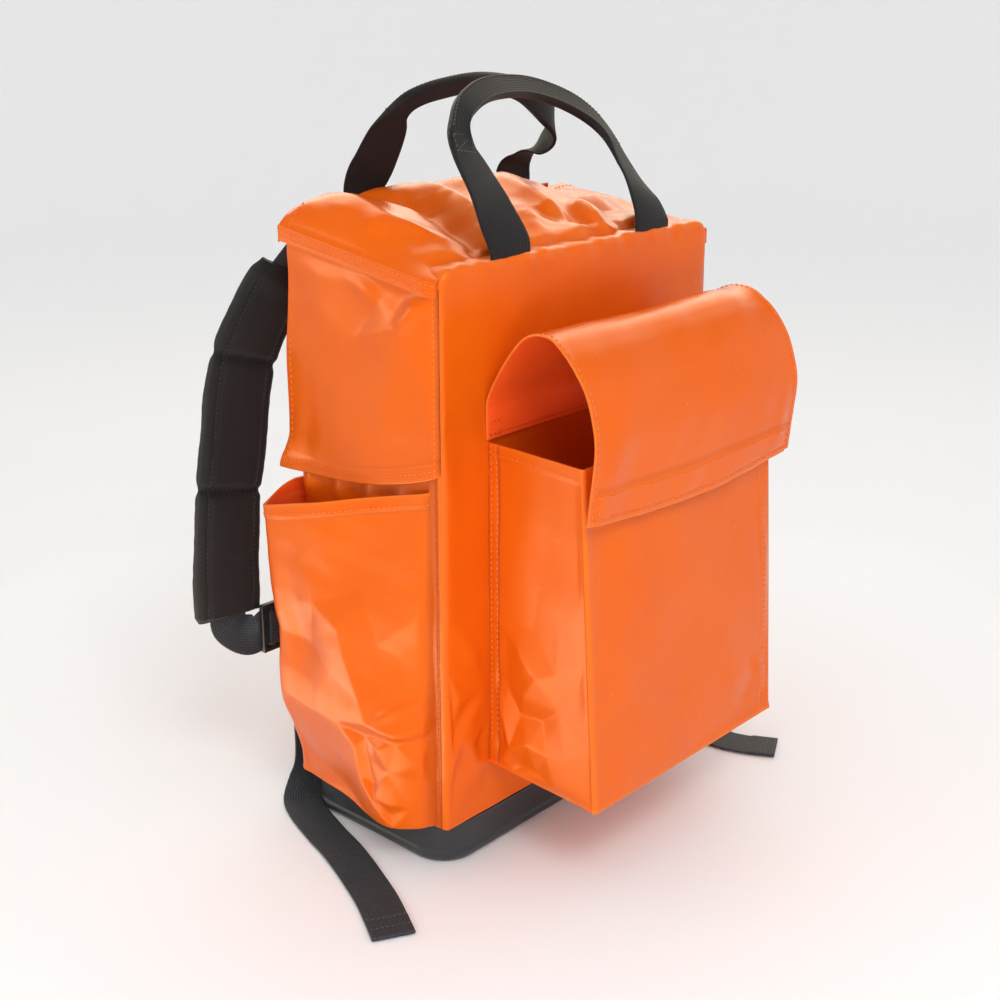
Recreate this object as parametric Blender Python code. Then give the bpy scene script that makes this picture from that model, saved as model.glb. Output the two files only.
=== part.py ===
"""Tool backpack: a coated-cloth bag on a moulded tray, with side pockets, a flapped box pocket,
two webbing handles and two padded shoulder straps.

Sizes are in millimetres and become metres when a mesh is made. The front faces -Y, the floor is
Z = 0 and the middle of the tray's underside is the origin. A sheet is one grid of points that a
Solidify modifier thickens; a strap is a ring of points swept along a path.
"""

import math

import bmesh
import bpy
import numpy as np

MM = 0.001

# Driving sizes
WIDTH = 302.0  # main compartment, side to side
DEPTH = 155.0  # main compartment, front wall to back wall
HEIGHT = 457.0  # floor to the top of the front panel
CLOTH = 2.0  # coated cloth, one ply
FRONT_PLY = 2.2  # stiffened cloth of the front panel
BACK_PAD = 8.0  # padded back panel
GAP = 0.3  # between pieces that touch

# Tray
TRAY_HEIGHT = 35.0
TRAY_RADIUS = 32.0
TRAY_PROUD = 5.0  # the tray's sides stand out past the cloth
TRAY_WALL = 3.0
TRAY_FLOOR = 3.0
TRAY_EDGE = 8.0  # rounding under the tray
TRAY_DRAFT = 1.0  # each side leans in by this much at the bottom

# Main compartment
BODY_RADIUS = 12.0
WRAP = 9.0  # how far the front panel turns round each side
PANEL_CORNER = 14.0  # rounding of the front panel's top corners
HANDLE_LAP = 16.0  # how far a handle's legs go down behind a panel
BACK_RISE = 16.0  # the back panel's top over the front panel's
BACK_SWELL = 3.0
BACK_INSET = 9.0  # each side edge of the back panel inside the bag's side
BACK_TUCK = 9.0  # the cloth draws in this much behind the lid

# Lid and side flaps
LID_RISE = 30.0  # the crown over the front panel's top
LID_DROP = 9.0  # the lid's side fold under the front panel's top, at the front
LID_SLANT = 23.0  # the side fold climbs this much from front to back
LID_HEM = 11.0
LID_INSET = 1.6  # the lid's front and back edges inside the panels
FLAP_BOTTOM_FRONT = 314.0
FLAP_BOTTOM_BACK = 289.0
FLAP_SETBACK = 11.0  # the flap's back edge, up under the lid, before the bag's back corner
FLAP_KICK = 10.0  # the lower back corner of the flap turns out by this much

# Side pockets
RIM_FRONT = 300.0
RIM_BACK = 268.0
POCKET_FOOT = TRAY_HEIGHT + 4.6  # over the tray's rim
POCKET_BULGE = 39.0  # the rim's back corner stands off the side by this much

# Front pocket and its flap
BOX_WIDTH = 226.0
BOX_TAPER = 6.0  # each gusset leans in by this much from the face to the bag
BOX_DEPTH_FOOT = 108.0
BOX_DEPTH_TOP = 91.0
BOX_FOOT = 76.0
BOX_TOP = 329.0
COVER_REACH = 107.0
COVER_RISE = 120.0
COVER_FOOT = 294.0
COVER_FLARE = 13.0
COVER_SAG = 8.0

# Webbing
HANDLE_WEB = 41.0
HANDLE_PLY = 2.4
HANDLE_SPREAD = 82.0  # each leg from the middle
HANDLE_RISE = 107.0
HANDLE_LEAN = 60.0  # how far the grip leans over the lid
GRIP = 20.0
STRAP_WEB = 32.0
STRAP_PLY = 1.6
PAD_WIDTH = 56.0
PAD_PLY = 14.0
CHANNEL_PLY = 8.0  # padding left at a sewn channel
LOCK_LENGTH = 22.0
LOCK_WALL = 4.0

# Places that follow from the sizes above
SIDE = WIDTH / 2
BACK = DEPTH / 2
TRAY_SIDE = SIDE + TRAY_PROUD
TRAY_BACK = BACK + GAP + TRAY_WALL
FLOOR = TRAY_FLOOR + TRAY_EDGE + GAP  # where the cloth walls start, inside the tray
FRONT_FACE = -BACK - GAP - FRONT_PLY
BACK_FACE = BACK + GAP + BACK_PAD
FLAP_LAYER = SIDE + GAP + FRONT_PLY + GAP  # inner face of a side flap, over the front panel's wrap
HEM_LAYER = FLAP_LAYER + CLOTH + GAP
BODY_TOP_FRONT = HEIGHT - HANDLE_LAP - 4.0
BACK_TOP = HEIGHT + BACK_RISE
BACK_FOOT = TRAY_HEIGHT + GAP

# The lid from front to back: share of the depth, crown as a share of LID_RISE
LID_CROWN = (
    (0.00, -0.12),
    (0.12, 0.22),
    (0.30, 0.62),
    (0.50, 0.92),
    (0.70, 1.05),
    (0.88, 1.00),
    (1.00, 0.80),
)

# How far the bag's back draws in, from the floor up: shares of HEIGHT and of BACK_TUCK
TUCK = (
    (0.35, 0.00),
    (0.60, 0.15),
    (0.74, 0.55),
    (0.87, 1.00),
    (0.94, 0.80),
    (1.00, 0.00),
)

# A side pocket from its foot to its rim: share of the height, then how far the cloth stands off
# near the front, in the middle and at the back corner, as shares of POCKET_BULGE
POCKET_SECTIONS = (
    (0.0, 0.70, 0.55, 0.30),
    (0.2, 0.66, 0.64, 0.58),
    (0.4, 0.52, 0.66, 0.71),
    (0.6, 0.38, 0.64, 0.81),
    (0.8, 0.27, 0.60, 0.92),
    (1.0, 0.19, 0.56, 1.00),
)

# The front pocket's cover from its seam, over the arch, to its lower edge: shares of
# COVER_REACH, COVER_RISE and COVER_FLARE
COVER_PROFILE = (
    (0.000, 0.31, 0.00),
    (0.005, 0.53, 0.12),
    (0.120, 0.71, 0.30),
    (0.300, 0.91, 0.45),
    (0.430, 0.99, 0.55),
    (0.590, 1.00, 0.65),
    (0.710, 0.94, 0.72),
    (0.810, 0.86, 0.80),
    (0.910, 0.74, 0.86),
    (0.970, 0.60, 0.90),
    (1.000, 0.46, 0.94),
    (0.990, 0.30, 0.97),
    (0.970, 0.14, 0.99),
    (0.960, 0.00, 1.00),
)

# A handle from its left leg to its right: shares of HANDLE_SPREAD, HANDLE_LEAN, HANDLE_RISE and
# HANDLE_WEB, the ply as a share of GRIP, and the way its flat side faces
FRONT_HANDLE = (
    (-0.97, 0.00, -0.14, 1.00, 0.12, 0.0, -1.0, 0.0),
    (-0.97, 0.00, 0.05, 1.00, 0.12, 0.0, -1.0, 0.0),
    (-1.04, 0.13, 0.25, 1.00, 0.12, 0.1, -1.0, 0.2),
    (-1.15, 0.23, 0.46, 0.78, 0.14, 0.3, -1.0, 0.3),
    (-1.25, 0.36, 0.66, 0.52, 0.24, 0.2, -1.0, 0.4),
    (-1.18, 0.52, 0.81, 0.46, 0.34, -0.1, -1.0, 0.5),
    (-0.96, 0.67, 0.93, 0.48, 0.38, -0.2, -0.9, 0.6),
    (-0.54, 0.85, 1.00, 0.50, 0.40, 0.0, -0.8, 0.7),
    (0.10, 1.00, 0.98, 0.50, 0.40, 0.1, -0.8, 0.7),
    (0.68, 0.97, 0.85, 0.52, 0.40, 0.3, -0.8, 0.6),
    (0.98, 0.80, 0.67, 0.56, 0.34, 0.5, -0.9, 0.5),
    (1.06, 0.50, 0.42, 0.66, 0.18, 0.4, -1.0, 0.3),
    (1.04, 0.16, 0.21, 0.86, 0.13, 0.1, -1.0, 0.2),
    (1.02, 0.00, 0.05, 1.00, 0.12, 0.0, -1.0, 0.0),
    (1.02, 0.00, -0.14, 1.00, 0.12, 0.0, -1.0, 0.0),
)
BACK_HANDLE = (
    (-0.90, 0.00, 0.02, 1.00, 0.12, 0.0, 1.0, 0.0),
    (-0.90, 0.00, 0.30, 1.00, 0.12, 0.0, 1.0, 0.0),
    (-0.82, 0.10, 0.48, 1.00, 0.12, 0.1, 1.0, 0.2),
    (-0.77, 0.28, 0.69, 0.76, 0.16, 0.2, 1.0, 0.3),
    (-0.74, 0.42, 0.82, 0.50, 0.26, 0.2, 1.0, 0.4),
    (-0.64, 0.56, 0.91, 0.44, 0.36, 0.1, 1.0, 0.5),
    (-0.38, 0.69, 0.97, 0.48, 0.40, 0.0, 0.9, 0.6),
    (0.06, 0.79, 1.00, 0.50, 0.40, 0.0, 0.9, 0.7),
    (0.60, 0.79, 0.93, 0.50, 0.40, -0.2, 0.9, 0.6),
    (1.05, 0.72, 0.75, 0.50, 0.34, -0.6, 0.8, 0.3),
    (1.25, 0.60, 0.60, 0.56, 0.18, -0.9, 0.5, 0.1),
    (1.28, 0.36, 0.49, 0.66, 0.14, -0.7, 0.7, 0.2),
    (1.20, 0.14, 0.40, 0.80, 0.12, -0.2, 0.9, 0.3),
    (1.16, 0.00, 0.29, 1.00, 0.12, 0.0, 1.0, 0.0),
    (1.16, 0.00, 0.02, 1.00, 0.12, 0.0, 1.0, 0.0),
)

# A shoulder strap from the back panel's top down: out from the middle as a share of SIDE, behind
# the back panel as a share of DEPTH, up as a share of HEIGHT, and the way its flat side faces
STRAP_TOP = (
    (0.66, 0.012, 1.012, 0.0, -1.0, 0.0),
    (0.72, 0.016, 0.998, 0.0, -1.0, 0.0),
    (0.81, 0.040, 0.976, -0.1, -1.0, -0.2),
)
STRAP_PAD = (
    (0.88, 0.085, 0.945, -0.2, -1.0, -0.4),
    (0.94, 0.140, 0.905, -0.2, -1.0, -0.3),
    (1.00, 0.185, 0.860, -0.1, -1.0, -0.2),
    (1.07, 0.220, 0.800, -0.1, -1.0, 0.0),
    (1.12, 0.228, 0.740, -0.1, -1.0, 0.0),
    (1.15, 0.225, 0.680, -0.1, -1.0, 0.0),
    (1.18, 0.220, 0.632, -0.1, -1.0, 0.0),
    (1.22, 0.212, 0.582, -0.1, -1.0, 0.0),
    (1.25, 0.204, 0.516, -0.1, -1.0, 0.0),
    (1.275, 0.193, 0.455, -0.1, -1.0, 0.0),
    (1.295, 0.183, 0.388, -0.1, -1.0, 0.0),
)
STRAP_LOOP = (
    (1.300, 0.180, 0.368, -0.1, -1.0, 0.0),
    (1.298, 0.168, 0.350, -0.1, -1.0, 0.3),
    (1.260, 0.135, 0.334, 0.1, -1.0, 0.5),
    (1.180, 0.097, 0.332, 0.1, -1.0, 0.1),
    (1.110, 0.085, 0.342, 0.0, -1.0, 0.0),
    (1.030, 0.083, 0.336, 0.0, -1.0, 0.0),
    (0.955, 0.078, 0.303, 0.0, -1.0, 0.0),
    (0.905, 0.066, 0.235, 0.0, -1.0, 0.0),
    (0.900, 0.052, 0.145, 0.0, -1.0, 0.0),
    (0.918, 0.036, 0.070, 0.0, -1.0, 0.1),
    (0.958, 0.022, 0.022, -0.3, -0.8, 0.6),
    (1.045, -0.040, 0.0045, -0.08, -0.2, 1.0),
)
# Where each free end lies on the floor, forward of the back panel
TAIL_ENDS = {
    "left": (
        (1.118, -0.180, 0.0, 0.0, 0.0, 1.0),
        (1.185, -0.370, 0.0, 0.0, 0.0, 1.0),
        (1.260, -0.605, 0.0, 0.0, 0.0, 1.0),
        (1.410, -0.963, 0.0, 0.0, 0.0, 1.0),
        (1.576, -1.260, 0.0, 0.0, 0.0, 1.0),
    ),
    "right": (
        (1.125, -0.180, 0.0, 0.0, 0.0, 1.0),
        (1.150, -0.554, 0.0, 0.0, 0.0, 1.0),
        (1.125, -0.876, 0.0, 0.0, 0.0, 1.0),
        (1.060, -1.225, 0.0, 0.0, 0.0, 1.0),
        (1.086, -1.410, 0.0, 0.0, 0.0, 1.0),
        (1.172, -1.586, 0.0, 0.0, 0.0, 1.0),
    ),
}
LOCK_ROW = 4  # the row of STRAP_LOOP where the ladder lock sits
CHANNELS = (0.27, 0.63)  # the pad's sewn channels, as shares of its length


def clear_scene():
    for obj in list(bpy.data.objects):
        bpy.data.objects.remove(obj, do_unlink=True)


def finish(name, colour, roughness, metallic=0.0):
    """A Principled material of one linear colour."""
    made = bpy.data.materials.new(name)
    made.use_nodes = True
    shader = made.node_tree.nodes["Principled BSDF"]
    shader.inputs["Base Color"].default_value = (*colour, 1.0)
    shader.inputs["Roughness"].default_value = roughness
    shader.inputs["Metallic"].default_value = metallic
    made.diffuse_color = (*colour, 1.0)
    return made


def mesh_object(name, points, faces, look):
    mesh = bpy.data.meshes.new(name)
    mesh.from_pydata((np.asarray(points) * MM).tolist(), [], [list(map(int, face)) for face in faces])
    mesh.materials.append(look)
    mesh.shade_smooth()
    mesh.set_sharp_from_angle(angle=math.radians(40))
    obj = bpy.data.objects.new(name, mesh)
    bpy.context.scene.collection.objects.link(obj)
    return obj


def smooth_rows(table, steps):
    """A Catmull-Rom curve through the rows of a table, in all its columns."""
    rows = np.array(table, float)
    ends = np.vstack([2 * rows[0] - rows[1], rows, 2 * rows[-1] - rows[-2]])
    curve = []
    for before, start, end, after in zip(ends, ends[1:], ends[2:], ends[3:]):
        for t in np.arange(steps) / steps:
            curve.append(
                start
                + (end - before) * t / 2
                + (before - 2.5 * start + 2 * end - after / 2) * t**2
                + (1.5 * (start - end) + (after - before) / 2) * t**3
            )
    curve.append(rows[-1])
    return np.array(curve)


def value_at(table, share):
    """Every column after the first of a table, at this value of its first column."""
    curve = smooth_rows(table, 8)
    return np.array([np.interp(share, curve[:, 0], column) for column in curve.T[1:]])


def smoothstep(x):
    x = min(max(x, 0.0), 1.0)
    return x * x * (3 - 2 * x)


def grid_faces(rows, columns, wrap=False):
    last = columns if wrap else columns - 1
    return [
        (r * columns + c, r * columns + (c + 1) % columns, (r + 1) * columns + (c + 1) % columns, (r + 1) * columns + c)
        for r in range(rows - 1)
        for c in range(last)
    ]


def sheet(name, grid, ply, look, grow, wrap=False, turned=False, even=True):
    """A grid of points thickened to a closed solid, on the side of its normals where grow is 1."""
    grid = np.asarray(grid, float)
    rows, columns = grid.shape[:2]
    faces = grid_faces(rows, columns, wrap)
    if turned:
        faces = [face[::-1] for face in faces]
    obj = mesh_object(name, grid.reshape(-1, 3), faces, look)
    thicken(obj, ply, grow, even)
    return obj


def thicken(obj, ply, grow, even=True):
    solid = obj.modifiers.new("Ply", "SOLIDIFY")
    solid.thickness = ply * MM
    solid.offset = grow
    solid.use_even_offset = even


def directions(centres):
    along = np.gradient(np.asarray(centres, float), axis=0)
    return along / np.linalg.norm(along, axis=1)[:, None]


def swept(name, centres, facing, widths, plies, look, round_edges=False, along=None):
    """A flat or padded section swept along a path, with flat ends."""
    centres = np.asarray(centres, float)
    along = directions(centres) if along is None else along
    facing = facing - (facing * along).sum(1)[:, None] * along
    facing /= np.linalg.norm(facing, axis=1)[:, None]
    across = np.cross(along, facing)
    if round_edges:
        turns = np.linspace(0, 2 * math.pi, 12, endpoint=False) + math.pi / 12
        section = [(np.sign(math.cos(t)) * abs(math.cos(t)) ** 0.35, math.sin(t)) for t in turns]
        section = [(a, np.sign(b) * abs(b) ** 0.6) for a, b in section]
    else:
        section = [(-1, -1), (1, -1), (1, 1), (-1, 1)]
    points = []
    for centre, w, n, wide, ply in zip(centres, across, facing, widths, plies):
        points += [centre + w * a * wide / 2 + n * b * ply / 2 for a, b in section]
    sides = len(section)
    faces = grid_faces(len(centres), sides, wrap=True)
    faces.append(tuple(range(sides))[::-1])
    faces.append(tuple(range((len(centres) - 1) * sides, len(centres) * sides)))
    obj = mesh_object(name, points, faces, look)
    put_outside_out(obj)
    return obj


def put_outside_out(obj):
    work = bmesh.new()
    work.from_mesh(obj.data)
    bmesh.ops.recalc_face_normals(work, faces=work.faces)
    work.to_mesh(obj.data)
    work.free()


def rounded_ring(half_width, half_depth, radius, corner_steps, side_steps):
    """Points round a rectangle with rounded corners, anticlockwise from above."""
    ring = []
    corners = ((1, -1, -90), (1, 1, 0), (-1, 1, 90), (-1, -1, 180))
    for i, (sx, sy, start) in enumerate(corners):
        centre = np.array([sx * (half_width - radius), sy * (half_depth - radius)])
        turns = np.radians(np.linspace(start, start + 90, corner_steps + 1))
        arc = [centre + radius * np.array([math.cos(t), math.sin(t)]) for t in turns]
        ring += arc
        after = corners[(i + 1) % 4]
        target = np.array([after[0] * (half_width - radius), after[1] * (half_depth - radius)])
        target = target + radius * np.array([math.cos(turns[-1]), math.sin(turns[-1])])
        ring += [arc[-1] + (target - arc[-1]) * s / side_steps for s in range(1, side_steps)]
    return np.array(ring)


def base_tray(look):
    """Loops from the middle of the underside, up the outside, over the rim and down inside."""
    inner = TRAY_WALL
    loops = (
        (TRAY_DRAFT + TRAY_EDGE, 0.0),
        (TRAY_DRAFT + TRAY_EDGE * 0.3, TRAY_EDGE * 0.3),
        (TRAY_DRAFT, TRAY_EDGE),
        (0.0, TRAY_HEIGHT),
        (inner, TRAY_HEIGHT),
        (inner, TRAY_FLOOR + TRAY_EDGE),
        (inner + TRAY_EDGE, TRAY_FLOOR),
    )
    points = []
    for inset, z in loops:
        ring = rounded_ring(TRAY_SIDE - inset, TRAY_BACK - inset, TRAY_RADIUS - inset, 6, 2)
        points += [(x, y, z) for x, y in ring]
    count = len(ring)
    faces = grid_faces(len(loops), count, wrap=True)
    faces.append(tuple(range(count))[::-1])
    faces.append(tuple(range((len(loops) - 1) * count, len(loops) * count)))
    obj = mesh_object("base_tray", points, faces, look)
    put_outside_out(obj)
    return obj


def fold_height(y):
    """The lid's side fold: the lower edge of its hem climbs from front to back."""
    share = (y + BACK) / DEPTH
    return HEIGHT - LID_DROP - LID_HEM + LID_SLANT * share


def lid_height(x, y):
    """The lid's underside over a point of the bag."""
    share = (y + BACK) / DEPTH
    crown = HEIGHT + LID_RISE * value_at(LID_CROWN, share)[0]
    edge = fold_height(y) + LID_HEM
    dome = 1 - min(abs(x) / HEM_LAYER, 1.0) ** 5
    return edge + (crown - edge) * dome


def body_top(x, y):
    """The walls end under the lid, and lower behind the handles' legs."""
    under_lid = min(lid_height(x, y) - 4.0, fold_height(y) + 6.0)
    front = smoothstep((y + BACK - 1.0) / 20.0)
    back = smoothstep((BACK - 1.0 - y) / 20.0)
    lowest = BODY_TOP_FRONT - 2.0
    return lowest + (under_lid - lowest) * front if y < 0 else under_lid - 10.0 * (1 - back)


def tucked(y, z):
    """A point of the bag's depth at this height, with the back drawn in."""
    tuck = np.interp(z / HEIGHT, *zip(*TUCK))
    return y - BACK_TUCK * tuck * smoothstep((y + BACK) / DEPTH)


def body_shell(look):
    """The walls stand on the tray's floor, inside its sides."""
    ring = rounded_ring(SIDE, BACK, BODY_RADIUS, 3, 7)
    grid = []
    for level in (FLOOR, TRAY_HEIGHT + 1.0, TRAY_HEIGHT + 10.0, *(HEIGHT * share for share, _ in TUCK)):
        row = []
        for x, y in ring:
            z = min(level, body_top(x, y))
            across, along = inside_tray(x, y, z)
            row.append((across, tucked(along, z), z))
        grid.append(row)
    return sheet("body_shell", grid, CLOTH, look, -1, wrap=True)


def inside_tray(x, y, z):
    """Draws a wall's corner in to the tray's own round corner."""
    corner = TRAY_RADIUS * (1 - smoothstep((z - TRAY_HEIGHT - 1.0) / 9.0))
    radius = max(corner - TRAY_WALL, BODY_RADIUS)
    far = np.array([abs(x) - (SIDE - radius), abs(y) - (BACK - radius)])
    reach = math.hypot(*np.maximum(far, 0.0))
    if min(far) <= 0 or reach <= radius:
        return x, y
    near = far * radius / reach
    return math.copysign(SIDE - radius + near[0], x), math.copysign(BACK - radius + near[1], y)


def front_panel(look):
    """A flat pan: the face, and a narrow wrap round each side of the bag."""
    half = SIDE + GAP + FRONT_PLY
    corner = 3.0
    plan = [(-half, FRONT_FACE + WRAP), (-half, FRONT_FACE + corner)]
    plan += [(-half + corner * 0.3, FRONT_FACE + corner * 0.3)]
    plan += [(x, FRONT_FACE) for x in np.linspace(-half + corner, half - corner, 19)]
    plan += [(half - corner * 0.3, FRONT_FACE + corner * 0.3)]
    plan += [(half, FRONT_FACE + corner), (half, FRONT_FACE + WRAP)]
    foot = TRAY_HEIGHT + GAP
    grid = []
    for share in np.linspace(0, 1, 8):
        row = []
        for x, y in plan:
            into = (abs(x) - (half - PANEL_CORNER)) / PANEL_CORNER
            drop = PANEL_CORNER * (1 - math.sqrt(max(0.0, 1 - min(max(into, 0.0), 1.0) ** 2)))
            top = min(HEIGHT - drop, HEIGHT)
            row.append((x, y, foot + share * (top - foot)))
        grid.append(row)
    return sheet("front_panel", grid, FRONT_PLY, look, -1)


def back_bulge(x, z):
    """How far the padded back panel swells behind its flat edges."""
    share = (z - BACK_FOOT) / (BACK_TOP - BACK_FOOT)
    return BACK_SWELL * math.sin(math.pi * share) * (1 - min(abs(x) / SIDE, 1.0) ** 2)


def back_panel(look):
    rows = []
    half = SIDE - BACK_INSET
    for z in (BACK_FOOT, *(HEIGHT * share for share, _ in TUCK), BACK_TOP):
        middle = tucked(BACK, z) + GAP + BACK_PAD / 2
        rows.append([(x, middle + back_bulge(x, z), z) for x in np.linspace(-half, half, 9)])
    return sheet("back_panel", rows, BACK_PAD, look, 0, turned=True)


def leg_bump(x, table):
    """1 where a handle's leg passes the lid's edge, 0 away from it."""
    legs = [HANDLE_SPREAD * table[0][0], HANDLE_SPREAD * table[-1][0]]
    near = min(abs(x - leg) for leg in legs)
    return 1 - smoothstep((near - HANDLE_WEB / 2 - 2.0) / 8.0)


def lid(look):
    room = HANDLE_PLY + GAP + 0.6
    crown_half = HEM_LAYER - 2.0
    across = [-HEM_LAYER, -HEM_LAYER]
    heights = [0.0, LID_HEM]
    inner = np.linspace(-1, 1, 21)
    rows = []
    for share in np.linspace(0, 1, 13):
        row = []
        y_mid = -BACK + LID_INSET + (DEPTH - 2 * LID_INSET) * share
        fold = fold_height(y_mid)
        row += [(x, y_mid, fold + h) for x, h in zip(across, heights)]
        for u in inner:
            x = crown_half * math.copysign(abs(u) ** 0.8, u)
            y = y_mid
            y += room * leg_bump(x, FRONT_HANDLE) * (1 - smoothstep(share / 0.15))
            y -= room * leg_bump(x, BACK_HANDLE) * (1 - smoothstep((1 - share) / 0.15))
            row.append((x, y, lid_height(x, y_mid) + 1.0))
        row += [(-x, y_mid, fold + h) for x, h in zip(across[::-1], heights[::-1])]
        rows.append(row)
    return sheet("lid", rows, CLOTH, look, 1)


def side_flap(name, side, look):
    """Hangs under the lid's hem; its lower back corner turns out."""
    front = -BACK - 1.0
    back = BACK + 1.0
    rows = []
    for down in np.linspace(0, 1, 9):
        row = []
        for along in np.linspace(0, 1, 9):
            setback = FLAP_SETBACK * (1 - smoothstep((down - 0.1) / 0.7))
            y = front + (back - setback - front) * along
            top = fold_height(y) + LID_HEM - 5.0
            foot = FLAP_BOTTOM_FRONT + (FLAP_BOTTOM_BACK - FLAP_BOTTOM_FRONT) * along**0.7
            foot -= 5.0 * math.sin(math.pi * along)
            kick = FLAP_KICK * smoothstep((down - 0.72) / 0.28) * smoothstep((along - 0.55) / 0.45)
            belly = 3.0 * math.sin(math.pi * along) * smoothstep((down - 0.2) / 0.6)
            x = FLAP_LAYER + kick + belly
            row.append((side * x, y + kick * 0.7, top + (foot - top) * down))
        rows.append(row)
    return sheet(name, rows, CLOTH, look, 1, turned=side > 0)


def pocket_plan(share):
    """How far a side pocket stands off, round from its front edge to its back edge at one height."""
    near, middle, corner = value_at(POCKET_SECTIONS, share)
    return (
        (0.00, 0.0),
        (0.05, 0.55 * near),
        (0.17, near),
        (0.36, 0.45 * near + 0.55 * middle),
        (0.58, 0.55 * middle + 0.45 * corner),
        (0.80, 0.18 * middle + 0.82 * corner),
        (0.93, corner),
        (0.98, 0.88 * corner),
        (1.00, 0.45 * corner),
        (1.00, 0.0),
    )


def side_pocket(name, side, look):
    """An open-topped bag: rows down from the rim, then in under the foot to the bag's side."""
    start = FRONT_FACE + WRAP + GAP + CLOTH
    end = BACK - GAP - CLOTH * 1.3
    wall = SIDE + GAP
    rows = []
    for share in np.linspace(1, 0, 8):
        plan = smooth_rows(pocket_plan(share), 2)
        row = []
        for along, out in plan:
            y = start + (end - start) * along
            rim = RIM_FRONT + (RIM_BACK - RIM_FRONT) * min(along, 1.0)
            x = wall + POCKET_BULGE * out
            row.append((side * x, y, POCKET_FOOT + share * (rim - POCKET_FOOT)))
        rows.append(row)
    foot = rows[-1]
    for closing in (0.25, 1.0):
        row = []
        for (x, y, z), even_y in zip(foot, np.linspace(start, end, len(foot))):
            out = (abs(x) - wall) * (1 - closing)
            row.append((side * (wall + out), y + (even_y - y) * closing, z - CLOTH * closing**0.4))
        rows.append(row)
    return sheet(name, rows, CLOTH, look, 1, turned=side > 0, even=False)


def front_pocket(look):
    """A box open at the top and towards the bag: gussets, face and bottom."""
    back = FRONT_FACE - GAP
    half = BOX_WIDTH / 2
    shares = np.linspace(0, 1, 6)
    across = np.linspace(-half, half, 11)
    points, faces = [], []
    walls = []
    for height in np.linspace(1, 0, 9):
        z = BOX_FOOT + (BOX_TOP - BOX_FOOT) * height
        depth = BOX_DEPTH_FOOT + (BOX_DEPTH_TOP - BOX_DEPTH_FOOT) * height
        bulge = 4.0 * math.sin(math.pi * height)
        row = [(-half + BOX_TAPER * (1 - s), back - depth * s, z) for s in shares]
        row += [(x, back - depth - bulge * (1 - (x / half) ** 2), z) for x in across[1:-1]]
        row += [(half - BOX_TAPER * (1 - s), back - depth * s, z) for s in shares[::-1]]
        walls.append(row)
    points += [point for row in walls for point in row]
    columns = len(walls[0])
    faces += grid_faces(len(walls), columns)
    base = len(points)
    floor = []
    for s in shares:
        floor.append([(x * (1 - BOX_TAPER * (1 - s) / half), back - BOX_DEPTH_FOOT * s, BOX_FOOT) for x in across])
    points += [point for row in floor for point in row]
    faces += [tuple(base + i for i in face) for face in grid_faces(len(floor), len(across))]
    obj = mesh_object("front_pocket", points, faces, look)
    work = bmesh.new()
    work.from_mesh(obj.data)
    bmesh.ops.remove_doubles(work, verts=work.verts, dist=0.01 * MM)
    bmesh.ops.recalc_face_normals(work, faces=work.faces)
    front = min(work.faces, key=lambda face: face.calc_center_median().y)
    if front.normal.y > 0:
        bmesh.ops.reverse_faces(work, faces=work.faces)
    work.to_mesh(obj.data)
    work.free()
    thicken(obj, CLOTH, -1)
    return obj


def front_pocket_flap(look):
    seam = FRONT_FACE - GAP - CLOTH / 2
    profile = smooth_rows(COVER_PROFILE, 2)
    rows = []
    for reach, rise, flare in np.maximum(profile, 0.0):
        half = BOX_WIDTH / 2 - BOX_TAPER / 2 + COVER_FLARE * flare
        sag = COVER_SAG * smoothstep(1 - rise / 0.5) if reach > 0.5 else 0.0
        rows.append(
            [
                (half * u, seam - COVER_REACH * reach, COVER_FOOT + COVER_RISE * rise - sag * (1 - u * u))
                for u in np.linspace(-1, 1, 9)
            ]
        )
    return sheet("front_pocket_flap", rows, CLOTH, look, 0, turned=True)


def handle(name, table, base_y, side, look):
    rows = smooth_rows(table, 3)
    centres = [
        (HANDLE_SPREAD * across, base_y - side * HANDLE_LEAN * max(lean, 0.0), HEIGHT + HANDLE_RISE * rise)
        for across, lean, rise in rows[:, :3]
    ]
    return swept(name, centres, rows[:, 5:8], HANDLE_WEB * rows[:, 3], GRIP * rows[:, 4], look)


def strap_path(side, label):
    """Points, directions and facings of a whole strap, and where its pad starts and ends."""
    steps = 3
    rows = smooth_rows(STRAP_TOP + STRAP_PAD + STRAP_LOOP + TAIL_ENDS[label], steps)
    lowest = 3 * GAP + STRAP_PLY / 2
    centres = np.array(
        [(side * SIDE * out, BACK_FACE + DEPTH * behind, max(HEIGHT * up, lowest)) for out, behind, up in rows[:, :3]]
    )
    facing = rows[:, 3:6] * (-side, 1, 1)
    pad_start = len(STRAP_TOP) * steps
    return centres, directions(centres), facing, pad_start, pad_start + len(STRAP_PAD) * steps


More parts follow.
